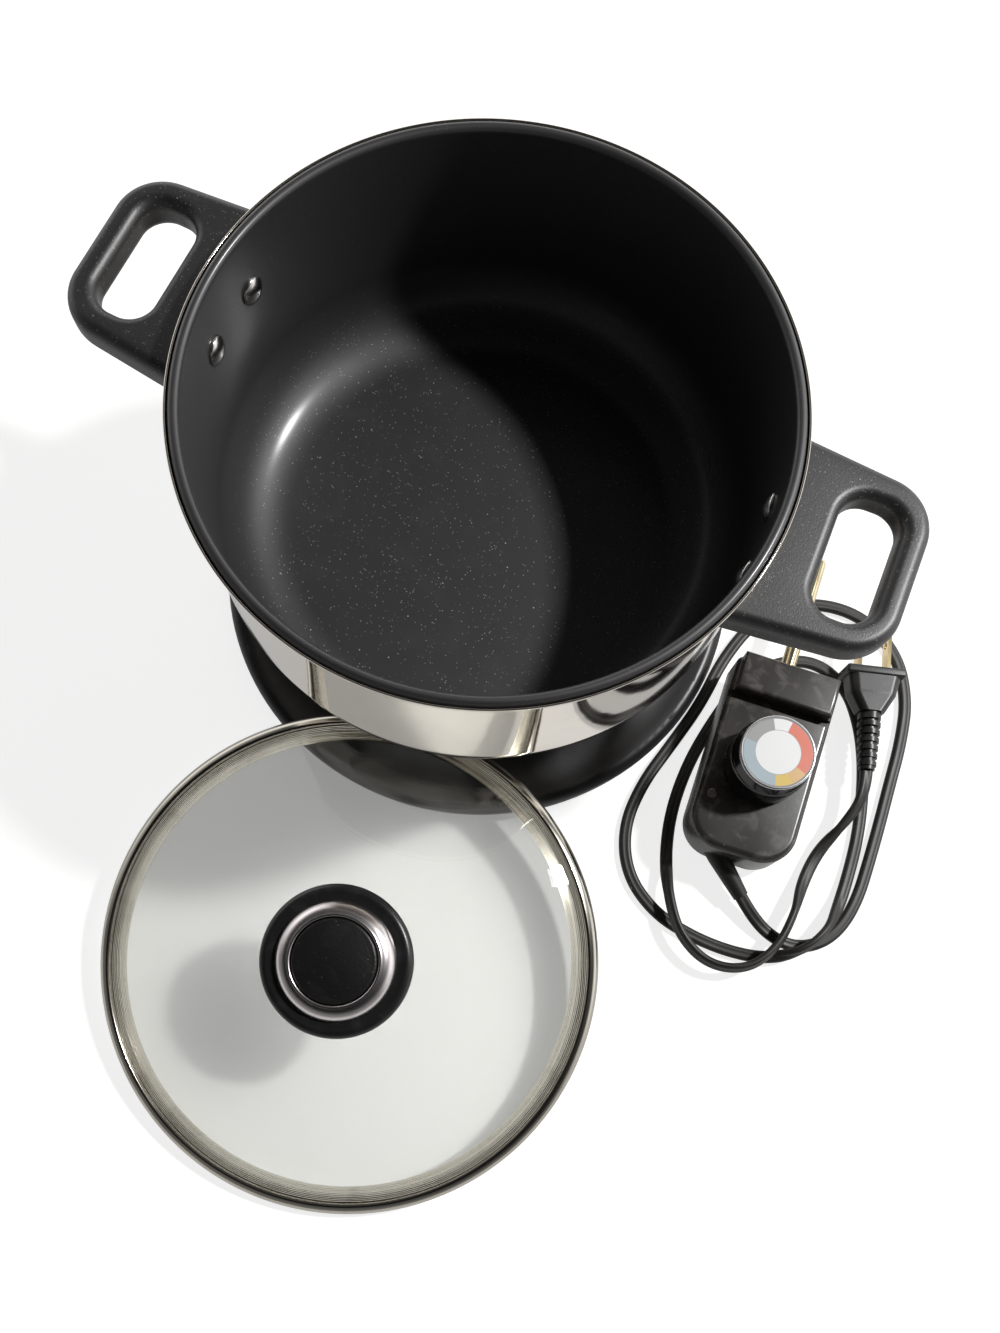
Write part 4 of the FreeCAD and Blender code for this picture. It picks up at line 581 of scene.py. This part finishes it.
# The knob.
# A black phenolic body with a wide finger flange, a sloped chrome ring let into it, and a domed cap with a
# fine grain.
KNOB_SEAT = 26.7
KNOB_STEPS = 160
FLANGE_TOP = KNOB_SEAT + 17.0
CAP_SEAT = FLANGE_TOP - 2.0
KNOB_LINE = [(0, KNOB_SEAT), (13.5, KNOB_SEAT), (14.6, KNOB_SEAT + 0.4, 1), (15.0, KNOB_SEAT + 1.5),
             (16.8, KNOB_SEAT + 6.6, 1), (25.5, KNOB_SEAT + 10.4), (29.2, KNOB_SEAT + 12.4, 1),
             (30.0, FLANGE_TOP - 2.2), (29.0, FLANGE_TOP - 0.6, 1), (26.2, FLANGE_TOP), (23.6, FLANGE_TOP),
             (23.6, CAP_SEAT), (0, CAP_SEAT)]
CHROME_LINE = [(16.8, CAP_SEAT), (23.5, CAP_SEAT), (23.5, CAP_SEAT + 2.3), (21.6, CAP_SEAT + 5.2, 1),
               (18.2, CAP_SEAT + 6.9), (17.4, CAP_SEAT + 7.0, 1), (16.9, CAP_SEAT + 6.4), (16.8, CAP_SEAT)]
CAP_LINE = [(0, CAP_SEAT), (16.65, CAP_SEAT), (16.65, CAP_SEAT + 5.6), (16.3, CAP_SEAT + 6.5, 1),
            (15.2, CAP_SEAT + 7.0), (7.6, CAP_SEAT + 7.9, 1), (0, CAP_SEAT + 8.2)]

knob_black, shader, tint = worked("knob_black", (0.014, 0.0138, 0.0145), (0.030, 0.029, 0.030), grain=0.8,
                                  depth=0.03, gloss=(0.24, 0.36), marks=9.0)
flecked(knob_black, shader, tint, (0.14, 0.13, 0.13), size=1.6, share=0.08, radius=0.12)
chrome, *_ = worked("knob_chrome", (0.74, 0.69, 0.69), (0.60, 0.56, 0.56), grain=8.0, depth=0.01,
                    gloss=(0.20, 0.28), metallic=1.0)
cap_black, shader, tint = worked("cap_black", (0.009, 0.0087, 0.0087), (0.017, 0.0165, 0.016), grain=1.1,
                                 depth=0.07, gloss=(0.34, 0.46), marks=8.0)
flecked(cap_black, shader, tint, (0.26, 0.24, 0.23), size=1.2, share=0.14, radius=0.14)
fit(turned("knob_body", section(KNOB_LINE), in_lid, KNOB_STEPS), knob_black, "knob_black", "lid",
    "knob_base")
fit(turned("knob_bezel", section(CHROME_LINE), in_lid, KNOB_STEPS, True), chrome, "chrome", "lid",
    "knob_ring")
fit(turned("knob_crown", section(CAP_LINE), in_lid, KNOB_STEPS), cap_black, "cap_black", "lid", "knob_cap")

# The temperature control.
# A glossy black two-part case with a raised block at its nose, a bright brass probe tube between two spring
# sockets, and a thermostat inside: folded frame, bimetal strip, contact arm and brass bush. A small clear
# lens sits in the deck.
# The case's lighter brownish mottling is partly dust and partly painted sheen, standing in for bright
# reflections on the block and deck.
case_black, shader, tint = worked("case_black", (0.036, 0.033, 0.030), (0.125, 0.115, 0.105), grain=1.2,
                                  depth=0.008, gloss=(0.18, 0.34), marks=7.0, Specular_IOR_Level=0.7)
flecked(case_black, shader, tint, (0.30, 0.29, 0.28), size=2.6, share=0.10, radius=0.10)
probe_brass, *_ = worked("probe_brass", (0.80, 0.70, 0.46), (0.62, 0.50, 0.30), grain=0.8, depth=0.01,
                         gloss=(0.12, 0.24), metallic=1.0)
bimetal, *_ = worked("bimetal_strip", (0.62, 0.52, 0.40), (0.48, 0.38, 0.28), grain=0.5, gloss=(0.3, 0.45),
                     metallic=1.0)
contact_brass, *_ = worked("contact_brass", (0.72, 0.58, 0.32), (0.55, 0.42, 0.22), grain=0.5,
                           gloss=(0.2, 0.35), metallic=1.0)
lens_clear, *_ = worked("lens_clear", (0.16, 0.14, 0.125), (0.11, 0.10, 0.09), grain=3.0, depth=0.004,
                        gloss=(0.04, 0.10))
dress(case_black, "control_bottom", "control_top")
dress(probe_brass, "probe", sharp=50.0)
dress(bimetal, "bimetal_blade")
dress(contact_brass, "contact_arm", "shaft_bush")
dress(lens_clear, "pilot_lens", sharp=50.0)

# The dial.
# A glossy black skirt with a bright bevelled edge; its top carries a white disc inside a ring of plain colour
# bands, each given by the angle where it starts. It turns on a steel shaft.
DIAL_AT = (148.51, -40.33)
DIAL_FOOT = 27.8
DIAL_TOP = 48.8
DIAL_STEPS = 160
DIAL_SKIRT_LINE = [(0, DIAL_FOOT), (16.8, DIAL_FOOT), (17.0, DIAL_FOOT + 0.6), (17.0, DIAL_FOOT + 12.4),
                   (16.75, DIAL_FOOT + 13.6, 1), (16.2, DIAL_FOOT + 14.6), (15.75, DIAL_TOP - 1.3),
                   (15.6, DIAL_TOP - 1.0), (14.6, DIAL_TOP - 1.0), (14.6, DIAL_TOP - 0.8),
                   (0, DIAL_TOP - 0.8)]
BEVEL_LINE = [(14.62, DIAL_TOP - 0.98), (15.62, DIAL_TOP - 0.98), (15.62, DIAL_TOP - 0.75),
              (15.45, DIAL_TOP - 0.25, 1), (15.0, DIAL_TOP), (14.62, DIAL_TOP - 0.04),
              (14.62, DIAL_TOP - 0.98)]
FACE_LINE = [(0, DIAL_TOP - 0.79), (14.55, DIAL_TOP - 0.79), (14.55, DIAL_TOP - 0.1), (0, DIAL_TOP)]
BANDS = [(-180.0, (0.44, 0.53, 0.58)), (-75.0, (0.80, 0.58, 0.16)), (-46.0, (0.78, 0.50, 0.22)),
         (-17.5, (0.80, 0.22, 0.15)), (85.5, (0.94, 0.94, 0.94)), (117.5, (0.40, 0.40, 0.40)),
         (177.5, (0.44, 0.53, 0.58))]
DISC_R = 9.2
LINE_W = 0.25
BAND_END_R = 14.1


def at_dial(grid):
    """Moves points from the dial's own axis to its place on the control."""
    return grid + np.array([*DIAL_AT, 0.0]) / 1000.0


dial_black, *_ = worked("dial_black", (0.010, 0.010, 0.011), (0.025, 0.025, 0.026), grain=1.0, depth=0.006,
                        gloss=(0.08, 0.16), marks=9.0)
bevel_silver, *_ = worked("bevel_silver", (0.70, 0.70, 0.70), (0.55, 0.55, 0.56), grain=1.0, depth=0.01,
                          gloss=(0.15, 0.3), metallic=1.0)
turned_steel, *_ = worked("turned_steel", (0.55, 0.55, 0.56), (0.42, 0.42, 0.42), grain=0.6,
                          gloss=(0.2, 0.35), metallic=1.0)

dial_print, shader = named_finish("dial_print", (0.92, 0.92, 0.92), roughness=0.35)
tree = dial_print.node_tree
where = tree.nodes.new("ShaderNodeTexCoord")
centred = tree.nodes.new("ShaderNodeMapping")
centred.inputs["Location"].default_value = (-DIAL_AT[0] / 1000.0, -DIAL_AT[1] / 1000.0, 0.0)
angle = tree.nodes.new("ShaderNodeTexGradient")
angle.gradient_type = "RADIAL"
bands = tree.nodes.new("ShaderNodeValToRGB")
bands.color_ramp.interpolation = "CONSTANT"
stops = bands.color_ramp.elements
ready = len(stops)
for place, (degrees, colour) in enumerate(BANDS):
    turn_share = (degrees + 180.0) / 360.0
    stop = stops[place] if place < ready else stops.new(turn_share)
    stop.position = turn_share
    stop.color = (*colour, 1.0)
level = tree.nodes.new("ShaderNodeVectorMath")
level.operation = "MULTIPLY"
level.inputs[1].default_value = (1000.0, 1000.0, 0.0)
radius = tree.nodes.new("ShaderNodeVectorMath")
radius.operation = "LENGTH"
tree.links.new(where.outputs["Object"], centred.inputs["Vector"])
tree.links.new(centred.outputs["Vector"], angle.inputs["Vector"])
tree.links.new(angle.outputs["Fac"], bands.inputs["Fac"])
tree.links.new(centred.outputs["Vector"], level.inputs[0])
tree.links.new(level.outputs["Vector"], radius.inputs[0])
edge = sum_node(tree, "GREATER_THAN", radius.outputs["Value"], BAND_END_R)
banded = tinted(dial_print, shader, edge, bands.outputs["Color"], (0.30, 0.30, 0.31))
line = sum_node(tree, "LESS_THAN", radius.outputs["Value"], DISC_R + LINE_W)
outlined = tinted(dial_print, shader, line, banded, (0.45, 0.46, 0.47))
disc = sum_node(tree, "LESS_THAN", radius.outputs["Value"], DISC_R)
tinted(dial_print, shader, disc, outlined, (0.94, 0.94, 0.94))
surface = place_effect(dial_print, GRAIN, Size=0.8, Patch=9.0)
gloss_between(dial_print, shader, surface.outputs["Patches"], low=0.28, high=0.42)
raised(dial_print, shader, surface.outputs["Height"], depth=0.006)

fit(turned("dial_skirt", section(DIAL_SKIRT_LINE), at_dial, DIAL_STEPS), dial_black, "dial_black", "dial",
    "dial_knob")
fit(turned("dial_bevel", section(BEVEL_LINE), at_dial, DIAL_STEPS, True), bevel_silver, "dial_black", "dial")
fit(turned("dial_disc", section(FACE_LINE), at_dial, DIAL_STEPS), dial_print, "dial_colours", "dial",
    "dial_face")
dress(turned_steel, "dial_shaft")

# The lead.
# A flat two-core mains lead, 943 mm long and 5.5 mm wide, limp, lying in the loops that the photograph shows.
# It leaves the control's tail through a tapered guard and ends in the plug.
LEAD_WIDTH = 0.0055
LEAD_THICK = 0.0034
LEAD_SIDES = 24
END_STRETCH = 0.03
CLIMB_FROM = 0.0042
CLIMB_RISE = 0.004
CLIMB_ROLL = 65.0
WAIST_DEPTH = 0.22
WAIST_HALF = 0.0007
SIDE_FULLNESS = 0.7
LEAD_SHARP = 60.0
LEAD_POINTS = [(164, -91, 7.4), (172.81, -97.17, 5.11), (184.5, -101.5, 3.5), (196, -101, 2.95),
               (205.5, -94.5, 2.95), (211, -84, 2.95), (213, -69.5, 2.95), (212, -53, 2.95),
               (210.5, -35, 2.95), (208.5, -16, 2.95), (206.5, 5, 2.95), (202, 26, 2.95), (190, 45, 2.95),
               (168, 56, 2.95), (143, 51.5, 2.95), (125, 34, 2.95), (118, 10, 2.95), (116.5, -14, 2.95),
               (111.5, -37, 2.95), (106, -60, 2.95), (106, -82, 2.95), (115.5, -101, 2.95),
               (133, -112, 2.95), (152, -115, 2.95), (170, -114.5, 2.95), (185.5, -111, 4), (197, -103, 9),
               (203.5, -91, 9), (206, -77, 4.6), (205.5, -61, 2.95), (203.5, -44, 2.95), (199.5, -27, 2.95),
               (194, -10, 2.95), (186, 6, 2.95), (174.5, 20, 2.95), (157, 26, 2.95), (140.5, 18, 2.95),
               (129.5, 1.5, 2.95), (124.5, -20, 2.95), (121.5, -43, 2.95), (122.5, -66, 2.95),
               (127.5, -86, 4), (134.5, -103.5, 9), (145.5, -118, 9), (161.5, -125, 9),
               (177.5, -120.5, 10.4), (186, -106.5, 10.4), (188, -90, 9), (187.5, -73, 4.6),
               (189, -57, 4.6), (194, -43, 9), (196.97, -29.51, 13.4), (193.46, -18.04, 13.4)]

route = bpy.data.curves.new("lead_route", "CURVE")
route.dimensions = "3D"
spline = route.splines.new("NURBS")
spline.points.add(len(LEAD_POINTS) - 1)
spline.points.foreach_set("co", np.c_[np.array(LEAD_POINTS) / 1000.0, np.ones(len(LEAD_POINTS))].ravel())
spline.order_u = 3
spline.use_endpoint_u = True
route_holder = bpy.data.objects.new("lead_route", route)
line_mesh = bpy.data.meshes.new_from_object(route_holder)
centre = np.zeros(len(line_mesh.vertices) * 3)
line_mesh.vertices.foreach_get("co", centre)
centre = centre.reshape(-1, 3)
bpy.data.objects.remove(route_holder)
bpy.data.curves.remove(route)
bpy.data.meshes.remove(line_mesh)

# It lies flat, so its middle is lower than a round lead's, and it rolls towards its edge where it climbs over
# another strand. Its section is an oval with fuller sides and a shallow waist between the two cores.
steps = np.linalg.norm(np.diff(centre, axis=0), axis=1)
travel = np.concatenate([[0.0], np.cumsum(steps)])
ends = np.clip(np.minimum(travel, travel[-1] - travel) / END_STRETCH, 0.0, 1.0)
lift = np.clip((centre[:, 2] - CLIMB_FROM) / CLIMB_RISE, 0.0, 1.0) * ends
sink = (LEAD_WIDTH - LEAD_THICK) / 2 * ends * (1.0 - lift)
centre[:, 2] -= sink
roll = np.radians(CLIMB_ROLL) * lift
ahead = np.gradient(centre, axis=0)
ahead /= np.linalg.norm(ahead, axis=1)[:, None]
side = np.cross((0.0, 0.0, 1.0), ahead)
side /= np.linalg.norm(side, axis=1)[:, None]
rise = np.cross(ahead, side)
wide = side * np.cos(roll)[:, None] + rise * np.sin(roll)[:, None]
thin = rise * np.cos(roll)[:, None] - side * np.sin(roll)[:, None]
round_way = np.linspace(0.0, 2.0 * np.pi, LEAD_SIDES, endpoint=False)
across = np.cos(round_way) * LEAD_WIDTH / 2
waist = 1.0 - WAIST_DEPTH * np.exp(-(across / WAIST_HALF) ** 2)
through = np.sign(np.sin(round_way)) * np.abs(np.sin(round_way)) ** SIDE_FULLNESS * LEAD_THICK / 2 * waist
grid = centre[:, None] + across[None, :, None] * wide[:, None] + through[None, :, None] * thin[:, None]
first = np.repeat(centre[:1, None], LEAD_SIDES, axis=1)
last = np.repeat(centre[-1:, None], LEAD_SIDES, axis=1)
lead = grid_piece("flat_lead", np.concatenate([first, grid, last]), (False, True), LEAD_SHARP)

lead_black, *_ = worked("lead_black", (0.022, 0.0205, 0.019), (0.040, 0.037, 0.034), grain=0.9, depth=0.02,
                        gloss=(0.38, 0.52), marks=14.0)
plug_black, *_ = worked("plug_black", (0.017, 0.0168, 0.0165), (0.040, 0.039, 0.037), grain=0.6, depth=0.02,
                        gloss=(0.30, 0.44), marks=8.0)
blade_brass, *_ = worked("blade_brass", (0.80, 0.64, 0.36), (0.62, 0.46, 0.24), grain=0.6, depth=0.01,
                         gloss=(0.14, 0.26), metallic=1.0)
fit(lead, lead_black, "lead_black", "control", "power_cord")
dress(lead_black, "cord_guard")
dress(plug_black, "plug_body", "plug_guard")
dress(blade_brass, "plug_blades")
